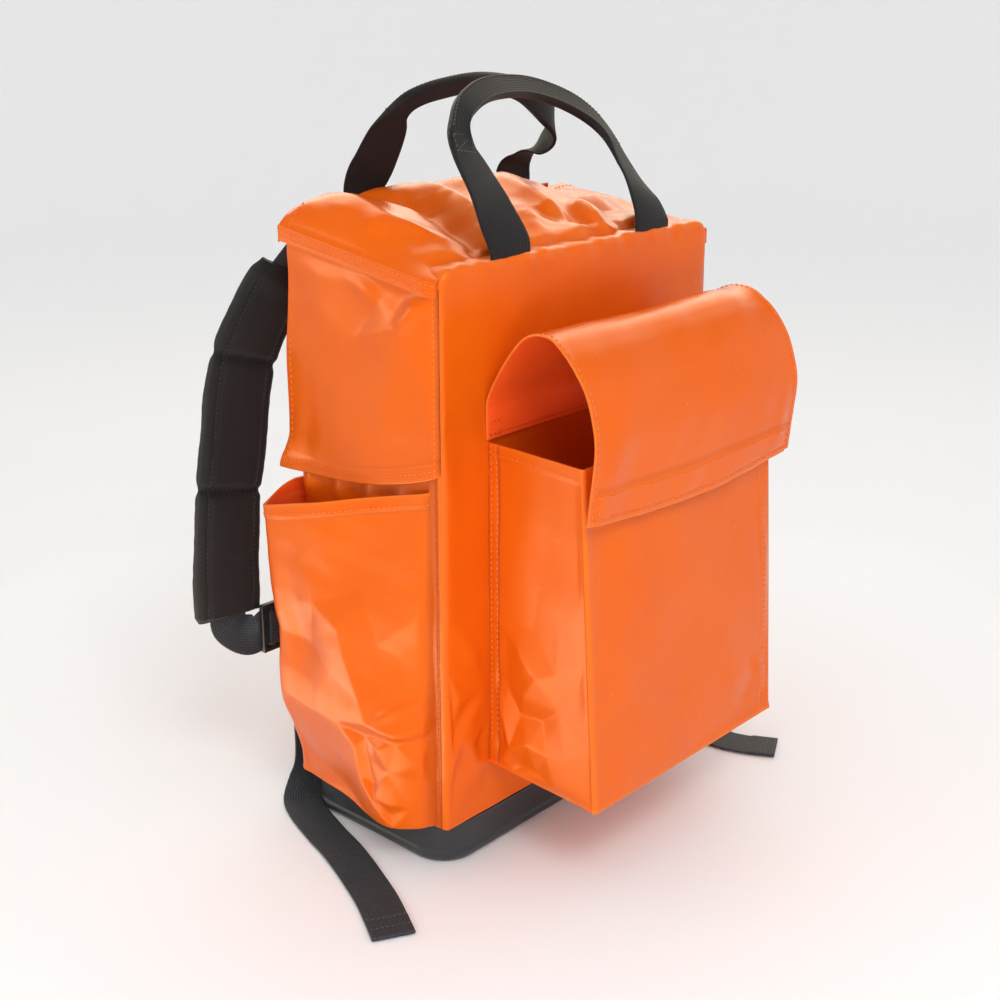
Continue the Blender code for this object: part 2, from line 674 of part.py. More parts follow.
def shoulder_strap(side, label, webbing, padding):
    centres, along, facing, start, end = strap_path(side, label)

    def piece(name, first, last, widths, plies, look, round_edges=False):
        """One stretch of the strap, cut short by a gap where another carries on."""
        points = centres[first : last + 1].copy()
        if first:
            points[0] += along[first] * GAP
        if last < len(centres) - 1:
            points[-1] -= along[last] * GAP
        swept(name, points, facing[first : last + 1], widths, plies, look, round_edges, along[first : last + 1])

    def webbed(name, first, last):
        count = last - first + 1
        piece(name, first, last, [STRAP_WEB] * count, [STRAP_PLY] * count, webbing)

    webbed("strap_top_" + label, 0, start)
    webbed("strap_tail_" + label, end, len(centres) - 1)
    widths, plies = [], []
    for share in np.linspace(0, 1, end - start + 1):
        pinch = max(math.exp(-(((share - c) / 0.03) ** 2)) for c in CHANNELS)
        ends = smoothstep(min(share, 1 - share) / 0.05)
        plies.append((CHANNEL_PLY + (PAD_PLY - CHANNEL_PLY) * (1 - pinch)) * (0.45 + 0.55 * ends))
        widths.append(PAD_WIDTH * (0.9 + 0.1 * ends))
    piece("shoulder_pad_" + label, start, end, widths, plies, padding, round_edges=True)


def ladder_lock(side, label, look):
    """A flat frame with a bar across, under the webbing that passes over it."""
    out, behind, up = STRAP_LOOP[LOCK_ROW][:3]
    y = BACK_FACE + DEPTH * behind - STRAP_PLY / 2 - GAP - LOCK_WALL / 2 - 0.8
    centre = np.array([side * SIDE * out, y, HEIGHT * up])
    half_x, half_z = LOCK_LENGTH / 2, STRAP_WEB / 2 + LOCK_WALL

    def block(name, half):
        corners = [(sx, sy, sz) for sx in (-1, 1) for sy in (-1, 1) for sz in (-1, 1)]
        faces = [(0, 1, 3, 2), (4, 6, 7, 5), (0, 4, 5, 1), (2, 3, 7, 6), (0, 2, 6, 4), (1, 5, 7, 3)]
        return mesh_object(name, [centre + np.array(c) * half for c in corners], faces, look)

    frame = block("ladder_lock_" + label, (half_x, LOCK_WALL / 2, half_z))
    put_outside_out(frame)
    slot_half = (half_x - LOCK_WALL * 1.5) / 2
    for number, shift in enumerate((-1, 1)):
        slot = block(f"lock_slot_{label}_{number}", (slot_half, LOCK_WALL, half_z - LOCK_WALL))
        for vertex in slot.data.vertices:
            vertex.co.x += shift * (slot_half + LOCK_WALL / 2) * MM
        put_outside_out(slot)
        slot.hide_render = True
        slot.display_type = "WIRE"
        cut = frame.modifiers.new("Slot", "BOOLEAN")
        cut.operation = "DIFFERENCE"
        cut.object = slot
    return centre


def strap_anchor(side, label, lock, look):
    """Webbing from the back panel out to the ladder lock, under its frame."""
    wide = STRAP_WEB - 4.0
    under = lock[1] - LOCK_WALL / 2 - GAP - STRAP_PLY / 2
    path = []
    for out in (0.66, 0.84):
        x = SIDE * out
        y = BACK_FACE + back_bulge(x - wide / 2, lock[2] + wide) + GAP + STRAP_PLY / 2 + 0.4
        path.append((side * x, y, lock[2] + 8.0 * (1 - out), 0.0, -1.0, 0.0))
    path += [
        (side * SIDE, (path[-1][1] + under) / 2, lock[2] + 1.0, 0.0, -1.0, 0.0),
        (lock[0] - side * LOCK_LENGTH * 0.4, under, lock[2], 0.0, -1.0, 0.0),
        (lock[0] + side * LOCK_LENGTH * 0.2, under, lock[2], 0.0, -1.0, 0.0),
    ]
    rows = smooth_rows(path, 2)
    count = len(rows)
    swept("strap_anchor_" + label, rows[:, :3], rows[:, 3:6], [wide] * count, [STRAP_PLY] * count, look)


def build():
    clear_scene()
    orange = finish("orange_coated_cloth", (0.80, 0.13, 0.012), 0.30)
    inside = finish("orange_cloth_back", (0.62, 0.07, 0.012), 0.45)
    webbing = finish("black_webbing", (0.013, 0.012, 0.013), 0.75)
    padding = finish("black_padding", (0.016, 0.015, 0.016), 0.80)
    plastic = finish("charcoal_plastic", (0.030, 0.031, 0.034), 0.38)

    base_tray(plastic)
    body_shell(inside)
    front_panel(orange)
    back_panel(orange)
    lid(orange)
    front_pocket(orange)
    front_pocket_flap(orange)
    handle("front_handle", FRONT_HANDLE, -BACK + HANDLE_PLY / 2, -1, webbing)
    handle("back_handle", BACK_HANDLE, BACK - HANDLE_PLY / 2, 1, webbing)
    for side, label in ((-1, "left"), (1, "right")):
        side_flap("side_flap_" + label, side, orange)
        side_pocket("side_pocket_" + label, side, orange)
        shoulder_strap(side, label, webbing, padding)
        lock = ladder_lock(side, label, plastic)
        strap_anchor(side, label, lock, webbing)


build()
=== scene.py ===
"""Looks of a tool backpack sewn from vinyl-coated cloth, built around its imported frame.

Sizes are in millimetres until a mesh is made. The bag's front faces -Y and the floor is Z = 0.
A cloth piece is a grid of points on its outer face, which gets its folds as pushes along its
normals and is then given its thickness. Stitches follow lines traced on those grids.
"""

import math

import bmesh
import bpy
import numpy as np
from bpy.props import FloatProperty, FloatVectorProperty, IntProperty, PointerProperty
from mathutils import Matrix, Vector
from mathutils.geometry import delaunay_2d_cdt


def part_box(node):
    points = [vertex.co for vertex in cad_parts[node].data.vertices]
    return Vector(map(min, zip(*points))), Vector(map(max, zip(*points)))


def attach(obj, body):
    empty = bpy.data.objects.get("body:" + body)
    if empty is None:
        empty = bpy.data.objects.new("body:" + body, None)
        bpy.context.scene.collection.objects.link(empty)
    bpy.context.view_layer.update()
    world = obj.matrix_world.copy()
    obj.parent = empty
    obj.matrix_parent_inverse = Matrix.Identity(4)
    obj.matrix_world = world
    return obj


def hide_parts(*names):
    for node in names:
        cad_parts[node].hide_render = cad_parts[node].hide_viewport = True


bl_info = {
    "name": "Tool backpack looks",
    "version": (1, 0, 0),
    "blender": (4, 5, 0),
    "location": "3D View > Sidebar > Backpack",
    "description": "Dresses the frame of a coated-cloth tool backpack",
    "category": "Add Mesh",
}

MM = 0.001
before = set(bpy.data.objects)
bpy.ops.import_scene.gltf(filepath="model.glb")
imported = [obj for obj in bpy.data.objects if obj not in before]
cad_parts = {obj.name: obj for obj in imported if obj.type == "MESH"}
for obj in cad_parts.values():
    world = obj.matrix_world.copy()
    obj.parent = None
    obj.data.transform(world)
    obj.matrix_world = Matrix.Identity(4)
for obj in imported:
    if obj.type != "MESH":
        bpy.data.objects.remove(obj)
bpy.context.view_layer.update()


def node_box(name):
    """Lowest and highest corner of a frame node, in millimetres."""
    low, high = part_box(name)
    return np.array(low) / MM, np.array(high) / MM


def linear(code):
    """A hex sRGB colour as linear red, green and blue."""
    shares = [int(code[i : i + 2], 16) / 255 for i in (1, 3, 5)]
    return tuple(c / 12.92 if c <= 0.04045 else ((c + 0.055) / 1.055) ** 2.4 for c in shares)


# Places read from the frame
WALL = node_box("body_shell")
SIDE, BACK = WALL[1][0], WALL[1][1]
PANEL = node_box("front_panel")
FRONT_FACE, HEIGHT, PANEL_HALF = PANEL[0][1], PANEL[1][2], PANEL[1][0]
TRAY = node_box("base_tray")
TRAY_TOP = TRAY[1][2]
BACK_PAD = node_box("back_panel")
# The padding of the back panel stands this far off the walls
BACK_FACE = BACK + 8.3
HEM_LAYER = node_box("lid")[1][0]
DEPTH = 2 * BACK

# Points inside the bag, which tell a sheet of the body or of its top which way is out
BODY_MIDDLE = (0, 0, 240)
TOP_MIDDLE = (0, 0, 380)


# Settings


def colour(name, text, code):
    """A colour setting, given as a hex sRGB code."""
    return FloatVectorProperty(
        name=name, description=text, subtype="COLOR", min=0, max=1, default=linear(code)
    )


def size(name, text, default, low=0.0, high=1000.0):
    """A length setting in millimetres."""
    return FloatProperty(
        name=name, description=text + ", in millimetres", default=default, min=low, max=high
    )


def watts(name, text, default):
    """A light's power setting."""
    return FloatProperty(
        name=name, description=text + ", in watts", default=default, min=0.0, unit="POWER"
    )


class ClothSettings(bpy.types.PropertyGroup):
    shell: colour("Shell", "Outer face of the coated cloth", "#E25C0C")
    lining: colour("Lining", "Inner face of the coated cloth", "#FF5A20")
    thread: colour("Thread", "Sewing thread", "#EC7A36")
    ply: size("Ply", "Thickness of one layer", 1.6, 0.8, 3.0)
    scrim: size("Scrim", "Spacing of the woven scrim's threads", 1.5, 0.5, 4.0)
    stitch_pitch: size("Stitch pitch", "From one stitch to the next", 4.4, 2.0, 10.0)
    stitch_length: size("Stitch length", "Length of one stitch", 3.0, 1.0, 8.0)
    # About a third thicker than real thread, so that it shows from a metre away
    thread_size: size("Thread size", "Thickness of the thread", 0.8, 0.3, 2.0)
    creasing: FloatProperty(
        name="Creasing",
        description="Strength of the folds",
        subtype="FACTOR",
        default=1.0,
        min=0.0,
        max=2.0,
    )


class WebbingSettings(bpy.types.PropertyGroup):
    black: colour("Handle webbing", "Dyed nylon webbing of the handles", "#141214")
    grey: colour("Strap webbing", "Ribbed webbing of the strap ends", "#303236")
    pad: colour("Pad cloth", "Cloth over the shoulder pads", "#171416")
    ply: size("Ply", "Thickness of the webbing", 1.9, 1.0, 4.0)
    rib: size("Rib", "Spacing of the ribs", 2.1, 0.8, 6.0)


class TraySettings(bpy.types.PropertyGroup):
    charcoal: colour("Charcoal", "Moulded polymer", "#2A2C2F")
    ledge: size("Ledge", "Height of the moulded step", 9.0, 2.0, 25.0)
    around: IntProperty(name="Steps", description="Steps round each corner", default=14, min=4, max=40)


class StageSettings(bpy.types.PropertyGroup):
    floor: colour("Floor", "Studio floor", "#F8F8F8")
    overhead: watts("Overhead", "Strength of the overhead light", 188.0)
    key: watts("Key", "Strength of the key light", 10.0)
    fill: watts("Fill", "Strength that the fill lights and the cards are set from", 11.0)


# Materials


def set_inputs(tree, made, inputs):
    """Gives each of these inputs a value, or another node's output."""
    for key, value in inputs.items():
        if isinstance(value, bpy.types.NodeSocket):
            tree.links.new(value, made.inputs[key])
        else:
            made.inputs[key].default_value = value


def shader_node(tree, kind, inputs=None, **settings):
    """Adds a node with its settings and inputs."""
    made = tree.nodes.new(kind)
    for key, value in settings.items():
        setattr(made, key, value)
    set_inputs(tree, made, inputs or {})
    return made


def new_material(name):
    """An empty node material and its Principled shader."""
    made = bpy.data.materials.get(name)
    if made:
        return made, None, None
    made = bpy.data.materials.new(name)
    made.use_nodes = True
    shader = made.node_tree.nodes["Principled BSDF"]
    return made, made.node_tree, shader


def tint(rgb, factor):
    """A colour made lighter or darker, with its alpha."""
    return tuple(min(c * factor, 1.0) for c in rgb) + (1.0,)


def coated_cloth(name, rgb, rough):
    """Vinyl-coated polyester, calendered: glossy skin, the scrim's weave showing faintly through it."""
    made, tree, shader = new_material(name)
    if tree is None:
        return made
    cloth = bpy.context.scene.backpack_cloth
    uv = shader_node(tree, "ShaderNodeUVMap", uv_map="UVMap").outputs["UV"]
    place = shader_node(tree, "ShaderNodeTexCoord").outputs["Object"]
    waves = 2 * math.pi / (cloth.scrim * MM)
    # The scrim's weave at its real spacing
    turns = shader_node(tree, "ShaderNodeVectorMath", {0: uv, 1: (waves, waves, 0.0)}, operation="MULTIPLY")
    sines = shader_node(tree, "ShaderNodeVectorMath", {0: turns.outputs[0]}, operation="SINE")
    parts = shader_node(tree, "ShaderNodeSeparateXYZ", {0: sines.outputs[0]})
    weave = shader_node(
        tree, "ShaderNodeMath", {0: parts.outputs[0], 1: parts.outputs[1]}, operation="MULTIPLY"
    )
    # Patches of dye and handling, 50 to 100 mm across
    cloud = shader_node(
        tree, "ShaderNodeTexNoise", {"Vector": place, "Scale": 14.0, "Detail": 3.0, "Roughness": 0.55}
    )
    base = shader_node(
        tree,
        "ShaderNodeMix",
        {0: cloud.outputs[0], 6: tint(rgb, 0.93), 7: tint((rgb[0], rgb[1] * 1.12, rgb[2]), 1.04)},
        data_type="RGBA",
    )
    colour_shift = shader_node(tree, "ShaderNodeAttribute", attribute_name="wear_and_painted_light")
    # Above zero the attribute makes the cloth paler and peach: partly rubbed wear, partly a painted
    # highlight on rims, rolled edges and fold crests
    rubbed_and_highlight = shader_node(
        tree, "ShaderNodeMath", {0: colour_shift.outputs["Fac"], 1: 0.55}, operation="MULTIPLY", use_clamp=True
    )
    pale = (rgb[0] * 1.04, rgb[1] * 1.9 + 0.02, rgb[2] * 2.0 + 0.03)
    paler = shader_node(
        tree,
        "ShaderNodeMix",
        {0: rubbed_and_highlight.outputs[0], 6: base.outputs[2], 7: tint(pale, 1.0)},
        data_type="RGBA",
    )
    # Painted shade darkens the seams and the lines under hems, where the attribute falls below zero
    seam_shade = shader_node(
        tree, "ShaderNodeMath", {0: colour_shift.outputs["Fac"], 1: -0.85}, operation="MULTIPLY", use_clamp=True
    )
    final = shader_node(
        tree,
        "ShaderNodeMix",
        {0: seam_shade.outputs[0], 6: paler.outputs[2], 7: (rgb[0] * 0.32, rgb[1] * 0.42, rgb[2] + 0.01, 1.0)},
        data_type="RGBA",
    )
    # Handling marks: the gloss changes over 10 to 20 mm
    marks = shader_node(
        tree, "ShaderNodeTexNoise", {"Vector": place, "Scale": 60.0, "Detail": 4.0, "Roughness": 0.6}
    )
    gloss = shader_node(tree, "ShaderNodeMapRange", {0: marks.outputs[0], 3: rough - 0.06, 4: rough + 0.06})
    soft = shader_node(
        tree, "ShaderNodeBump", {"Strength": 0.35, "Distance": 0.0012, "Height": cloud.outputs[0]}
    )
    fine = shader_node(
        tree,
        "ShaderNodeBump",
        {"Strength": 0.5, "Distance": 0.0003, "Height": marks.outputs[0], "Normal": soft.outputs[0]},
    )
    skin = shader_node(
        tree,
        "ShaderNodeBump",
        {"Strength": 0.8, "Distance": 0.00004, "Height": weave.outputs[0], "Normal": fine.outputs[0]},
    )
    # The warm tint keeps the highlights peach, as the pigmented skin gives them
    looks = {
        "Base Color": final.outputs[2],
        "Roughness": gloss.outputs[0],
        "Normal": skin.outputs[0],
        "IOR": 1.46,
        "Specular IOR Level": 0.4,
        "Specular Tint": (1.0, 0.64, 0.33, 1.0),
        "Coat Weight": 0.06,
        "Coat Roughness": 0.12,
    }
    set_inputs(tree, shader, looks)
    return made


def webbing_cloth(name, rgb, rib, cross, lift):
    """Nylon webbing: warp ribs along it, crossed by the weft, with a faint sheen from the filaments."""
    made, tree, shader = new_material(name)
    if tree is None:
        return made
    uv = shader_node(tree, "ShaderNodeUVMap", uv_map="UVMap").outputs["UV"]
    place = shader_node(tree, "ShaderNodeTexCoord").outputs["Object"]
    # Ribs and weft are drawn up to half as coarse again as real, so that they show from a metre away
    waves = (2 * math.pi / (rib * MM), 2 * math.pi / (cross * MM), 0.0)
    turns = shader_node(tree, "ShaderNodeVectorMath", {0: uv, 1: waves}, operation="MULTIPLY")
    sines = shader_node(tree, "ShaderNodeVectorMath", {0: turns.outputs[0]}, operation="SINE")
    parts = shader_node(tree, "ShaderNodeSeparateXYZ", {0: sines.outputs[0]})
    weave = shader_node(
        tree, "ShaderNodeMath", {0: parts.outputs[1], 1: 0.45, 2: parts.outputs[0]}, operation="MULTIPLY_ADD"
    )
    lint = shader_node(tree, "ShaderNodeTexNoise", {"Vector": place, "Scale": 420.0, "Detail": 3.0})
    share = shader_node(tree, "ShaderNodeMapRange", {0: weave.outputs[0], 1: -1.4, 2: 1.4, 3: 0.0, 4: 0.75})
    mixed = shader_node(
        tree, "ShaderNodeMath", {0: lint.outputs[0], 1: 0.5, 2: share.outputs[0]}, operation="MULTIPLY_ADD"
    )
    base = shader_node(
        tree, "ShaderNodeMix", {0: mixed.outputs[0], 6: tint(rgb, 0.55), 7: tint(rgb, 1.5)}, data_type="RGBA"
    )
    relief = shader_node(
        tree, "ShaderNodeBump", {"Strength": 0.8, "Distance": lift * MM, "Height": weave.outputs[0]}
    )
    looks = {
        "Base Color": base.outputs[2],
        "Normal": relief.outputs[0],
        "Roughness": 0.62,
        "IOR": 1.38,
        "Sheen Weight": 0.05,
        "Sheen Roughness": 0.4,
    }
    set_inputs(tree, shader, looks)
    return made


def pad_cloth(name, rgb):
    """Polyester pack cloth over foam: matte and a little fuzzy, with its plain weave just showing."""
    made, tree, shader = new_material(name)
    if tree is None:
        return made
    place = shader_node(tree, "ShaderNodeTexCoord").outputs["Object"]
    # About twice as coarse as the real weave, so that it shows
    weave = shader_node(tree, "ShaderNodeTexNoise", {"Vector": place, "Scale": 900.0, "Detail": 2.0})
    cloud = shader_node(tree, "ShaderNodeTexNoise", {"Vector": place, "Scale": 25.0, "Detail": 3.0})
    base = shader_node(
        tree, "ShaderNodeMix", {0: cloud.outputs[0], 6: tint(rgb, 0.8), 7: tint(rgb, 1.25)}, data_type="RGBA"
    )
    relief = shader_node(
        tree, "ShaderNodeBump", {"Strength": 0.5, "Distance": 0.0003, "Height": weave.outputs[0]}
    )
    looks = {
        "Base Color": base.outputs[2],
        "Normal": relief.outputs[0],
        "Roughness": 0.78,
        "IOR": 1.38,
        "Sheen Weight": 0.08,
        "Sheen Roughness": 0.5,
    }
    set_inputs(tree, shader, looks)
    return made


def moulded_polymer(name, rgb):
    """Injection-moulded polypropylene: satin, with a fine spark-eroded grain and a few scuffs."""
    made, tree, shader = new_material(name)
    if tree is None:
        return made
    place = shader_node(tree, "ShaderNodeTexCoord").outputs["Object"]
    # About three times as coarse as the real grain, so that it shows
    grain = shader_node(tree, "ShaderNodeTexNoise", {"Vector": place, "Scale": 1400.0, "Detail": 2.0})
    stretched = shader_node(
        tree,
        "ShaderNodeMapping",
        {"Vector": place, "Scale": (30.0, 30.0, 160.0), "Rotation": (0.2, 0.5, 0.0)},
    )
    scuffs = shader_node(
        tree, "ShaderNodeTexNoise", {"Vector": stretched.outputs[0], "Scale": 1.0, "Detail": 6.0}
    )
    colour_shift = shader_node(tree, "ShaderNodeMapRange", {0: scuffs.outputs[0], 1: 0.56, 2: 0.72, 3: 0.0, 4: 0.5})
    base = shader_node(
        tree, "ShaderNodeMix", {0: colour_shift.outputs[0], 6: tint(rgb, 1.0), 7: tint(rgb, 1.9)}, data_type="RGBA"
    )
    rough = shader_node(tree, "ShaderNodeMapRange", {0: scuffs.outputs[0], 3: 0.34, 4: 0.5})
    relief = shader_node(
        tree, "ShaderNodeBump", {"Strength": 0.35, "Distance": 0.0002, "Height": grain.outputs[0]}
    )
    looks = {
        "Base Color": base.outputs[2],
        "Roughness": rough.outputs[0],
        "Normal": relief.outputs[0],
        "IOR": 1.5,
    }
    set_inputs(tree, shader, looks)
    return made


def sewing_thread(name, rgb):
    """Bonded polyester thread: lighter than the cloth, slightly shiny."""
    made, tree, shader = new_material(name)
    if tree is None:
        return made
    place = shader_node(tree, "ShaderNodeTexCoord").outputs["Object"]
    twist = shader_node(tree, "ShaderNodeTexNoise", {"Vector": place, "Scale": 1200.0, "Detail": 1.0})
    base = shader_node(
        tree, "ShaderNodeMix", {0: twist.outputs[0], 6: tint(rgb, 0.8), 7: tint(rgb, 1.1)}, data_type="RGBA"
    )
    set_inputs(tree, shader, {"Base Color": base.outputs[2], "Roughness": 0.5})
    return made


def shell_cloth():
    return coated_cloth("vinyl_coated_polyester", bpy.context.scene.backpack_cloth.shell, 0.25)


def lining_cloth():
    return coated_cloth("vinyl_coated_polyester_inner_face", bpy.context.scene.backpack_cloth.lining, 0.42)


def thread():
    return sewing_thread("bonded_polyester_thread", bpy.context.scene.backpack_cloth.thread)


def deep_thread():
    return sewing_thread("bonded_polyester_thread_deep", linear("#C2500F"))


def dark_thread():
    return sewing_thread("bonded_polyester_thread_black", linear("#5A5658"))


def pad_thread():
    return sewing_thread("bonded_polyester_thread_charcoal", linear("#2C2A2C"))


def black_webbing():
    settings = bpy.context.scene.backpack_webbing
    return webbing_cloth("nylon_webbing_black", settings.black, 1.6, 1.3, 0.16)


def ribbed_webbing():
    settings = bpy.context.scene.backpack_webbing
    return webbing_cloth("nylon_webbing_ribbed", settings.grey, settings.rib, 1.5, 0.22)


# Shapes


def curve_through(table, steps):
    """A Catmull-Rom curve through the rows of a table, in all its columns."""
    rows = np.array(table, float)
    ends = np.vstack([2 * rows[0] - rows[1], rows, 2 * rows[-1] - rows[-2]])
    curve = []
    for before, start, end, after in zip(ends, ends[1:], ends[2:], ends[3:]):
        for t in np.arange(steps) / steps:
            curve.append(
                start
                + (end - before) * t / 2
                + (before - 2.5 * start + 2 * end - after / 2) * t**2
                + (1.5 * (start - end) + (after - before) / 2) * t**3
            )
    curve.append(rows[-1])
    return np.array(curve)


def column_of(table, share, steps=12):
    """Every column after the first of a table, at these values of its first column."""
    curve = curve_through(table, steps)
    return [np.interp(share, curve[:, 0], values) for values in curve.T[1:]]


def ease(x):
    """A smooth step from 0 to 1."""
    x = np.clip(x, 0.0, 1.0)
    return x * x * (3 - 2 * x)


def bump(x, middle, width):
    """A soft hump of height 1."""
    return np.exp(-(((x - middle) / width) ** 2))


def folds(across, down, table):
    """Heights of creases, each with its start, its end, width, height, and 0 (soft) to 1 (sharp)."""
    total = np.zeros(np.broadcast(across, down).shape)
    for x0, y0, x1, y1, width, height, sharp in table:
        length = math.hypot(x1 - x0, y1 - y0)
        run = ((x1 - x0) / length, (y1 - y0) / length)
        along = ((across - x0) * run[0] + (down - y0) * run[1]) / length
        aside = (down - y0) * run[0] - (across - x0) * run[1]
        past = np.maximum(np.maximum(-along, along - 1), 0.0) * length
        away = np.hypot(aside, past) / width
        soft = np.exp(-(away**2))
        crisp = np.maximum(1 - away / 1.6, 0.0)
        fade = 0.35 + 0.65 * np.sin(math.pi * np.clip(along, 0.02, 0.98)) ** 0.6
        total = total + height * fade * (sharp * crisp + (1 - sharp) * soft)
    return total


def ripples(points, length, height, seed):
    """Smooth random waves over points, about this long and high."""
    draw = np.random.default_rng(seed)
    total = np.zeros(points.shape[:-1])
    for _ in range(7):
        way = draw.normal(size=3)
        way *= 2 * math.pi / (np.linalg.norm(way) * length * draw.uniform(0.6, 1.7))
        total += np.sin(points @ way + draw.uniform(0, 2 * math.pi))
    return total * height / 2.6


def blurred(values, passes):
    """A grid of values, each mixed with its neighbours."""
    for _ in range(passes):
        wide = np.pad(values, 1, mode="edge")
        around = wide[:-2, 1:-1] + wide[2:, 1:-1] + wide[1:-1, :-2] + wide[1:-1, 2:]
        values = (around + 2 * wide[1:-1, 1:-1]) / 6
    return values


def facets(across, down, table, passes=2):
    """Heights of a crumple as stiff coated cloth takes it: flat facets that meet in creases."""
    table = np.array(table, float)
    spots = [Vector(row[:2]) for row in table]
    corners, _, triangles, sources, _, _ = delaunay_2d_cdt(spots, [], [], 0, 0.01)
    heights = [table[source[0], 2] for source in sources]
    total = np.zeros(np.broadcast(across, down).shape)
    for i, j, k in triangles:
        (ax, ay), (bx, by), (cx, cy) = corners[i], corners[j], corners[k]
        area = (bx - ax) * (cy - ay) - (cx - ax) * (by - ay)
        if abs(area) < 1e-6:
            continue
        u = ((across - ax) * (cy - ay) - (cx - ax) * (down - ay)) / area
        v = ((bx - ax) * (down - ay) - (across - ax) * (by - ay)) / area
        inside = (u >= 0) & (v >= 0) & (u + v <= 1)
        total = np.where(inside, heights[i] * (1 - u - v) + heights[j] * u + heights[k] * v, total)
    return blurred(total, passes)


def run_along(points):
    """How far along a path each of its points is."""
    return np.concatenate([[0], np.cumsum(np.linalg.norm(np.diff(points, axis=0), axis=1))])


def resampled(columns, old, new):
    """A path's columns, read at new distances."""
    return np.stack([np.interp(new, old, column) for column in columns.T], -1)


def from_far_end(values, total):
    """Distances below 0 are measured back from the far end."""
    return np.where(values < 0, total + values, values)


class Sheet:
    """Points on the outer face of a piece of cloth. Rows run down it and columns across it."""

    def __init__(self, points, centre):
        self.points = np.array(points, float)
        self.centre = np.array(centre, float)
        self.measure()

    def measure(self):
        """Sets the mean distances across and down the cloth."""
        steps = np.linalg.norm(np.diff(self.points, axis=1), axis=2).mean(0)
        self.across = np.concatenate([[0], np.cumsum(steps)])
        steps = np.linalg.norm(np.diff(self.points, axis=0), axis=2).mean(1)
        self.down = np.concatenate([[0], np.cumsum(steps)])

    def normals(self):
        """Unit normals that point away from the centre."""
        rows, columns = np.gradient(self.points, axis=0), np.gradient(self.points, axis=1)
        found = np.cross(columns, rows)
        found /= np.maximum(np.linalg.norm(found, axis=2, keepdims=True), 1e-9)
        outward = (found * (self.points - self.centre)).sum()
        return found if outward > 0 else -found

    def push(self, amount):
        """Moves the cloth along its normals, out where the amount is above 0."""
        self.points = self.points + self.normals() * np.asarray(amount)[..., None]

    def at(self, down, across, lift):
        """Points at these distances down and across, from the far edge where below 0."""
        down = from_far_end(down, self.down[-1])
        across = from_far_end(across, self.across[-1])
        r = np.interp(down, self.down, np.arange(len(self.down)))
        c = np.interp(across, self.across, np.arange(len(self.across)))
        r0 = np.minimum(r.astype(int), len(self.down) - 2)
        c0 = np.minimum(c.astype(int), len(self.across) - 2)
        fr, fc = (r - r0)[:, None], (c - c0)[:, None]
        lifted = self.points + self.normals() * lift
        near = lifted[r0, c0] * (1 - fc) + lifted[r0, c0 + 1] * fc
        far = lifted[r0 + 1, c0] * (1 - fc) + lifted[r0 + 1, c0 + 1] * fc
        return near * (1 - fr) + far * fr

    def line(self, *corners, lift=0.25):
        """A stitch line through corners given as (down, across)."""
        corners = np.array(corners, float)
        corners[:, 0] = from_far_end(corners[:, 0], self.down[-1])
        corners[:, 1] = from_far_end(corners[:, 1], self.across[-1])
        found = []
        for start, end in zip(corners, corners[1:]):
            count = max(int(np.linalg.norm(end - start) / 2.0), 2)
            found.append(start + (end - start) * np.linspace(0, 1, count)[:, None])
        path = np.vstack(found)
        return self.at(path[:, 0], path[:, 1], lift)


def grid_quads(rows, columns, wrap=False):
    """Faces of a grid of points, closed round its columns if asked."""
    index = np.arange(rows * columns).reshape(rows, columns)
    if wrap:
        index = np.hstack([index, index[:, :1]])
    return np.stack([index[:-1, :-1], index[1:, :-1], index[1:, 1:], index[:-1, 1:]], -1).reshape(-1, 4)


def new_object(name, data):
    """An object in the scene, at the origin."""
    obj = bpy.data.objects.new(name, data)
    bpy.context.scene.collection.objects.link(obj)
    return obj


def mesh_object(name, points, faces, materials):
    """An object from points in millimetres."""
    mesh = bpy.data.meshes.new(name)
    mesh.from_pydata((np.asarray(points) * MM).tolist(), [], [list(map(int, face)) for face in faces])
    for material in materials:
        mesh.materials.append(material)
    return new_object(name, mesh)


def give_uv(obj, per_vertex):
    """A UV map in metres from one value pair per vertex."""
    layer = obj.data.uv_layers.new(name="UVMap")
    corners = np.empty(len(obj.data.loops), np.int32)
    obj.data.loops.foreach_get("vertex_index", corners)
    layer.data.foreach_set("uv", np.asarray(per_vertex, np.float32)[corners].ravel())


def give_light_and_wear(obj, amount):
    """Per vertex, paler above 0, partly rubbed wear and partly painted highlight, and darker below it with
    painted shade.
    """
    made = obj.data.attributes.new("wear_and_painted_light", "FLOAT", "POINT")
    made.data.foreach_set("value", np.clip(np.asarray(amount, np.float32).ravel(), -1, 1))


def shade(mesh, angle):
    """Shades smooth up to this angle in degrees."""
    mesh.shade_smooth()
    mesh.set_sharp_from_angle(angle=math.radians(angle))


def settle(obj, angle=45.0):
    """Applies every modifier, leaving a plain mesh shaded smooth up to this angle."""
    graph = bpy.context.evaluated_depsgraph_get()
    result = obj.evaluated_get(graph)
    mesh = bpy.data.meshes.new_from_object(result, preserve_all_data_layers=True, depsgraph=graph)
    old = obj.data
    obj.modifiers.clear()
    obj.data = mesh
    mesh.name = obj.name
    bpy.data.meshes.remove(old)
    shade(mesh, angle)
    return obj


def turn_outwards(obj, angle):
    """Turns the faces of a closed mesh outwards and shades it smooth up to this angle."""
    work = bmesh.new()
    work.from_mesh(obj.data)
    bmesh.ops.recalc_face_normals(work, faces=work.faces)
    work.to_mesh(obj.data)
    work.free()
    shade(obj.data, angle)


def round_edges(obj, width, segments, angle):
    """A bevel on the edges that turn by more than this angle."""
    soft = obj.modifiers.new("Edge", "BEVEL")
    soft.width = width * MM
    soft.segments = segments
    soft.limit_method = "ANGLE"
    soft.angle_limit = math.radians(angle)
    soft.use_clamp_overlap = True


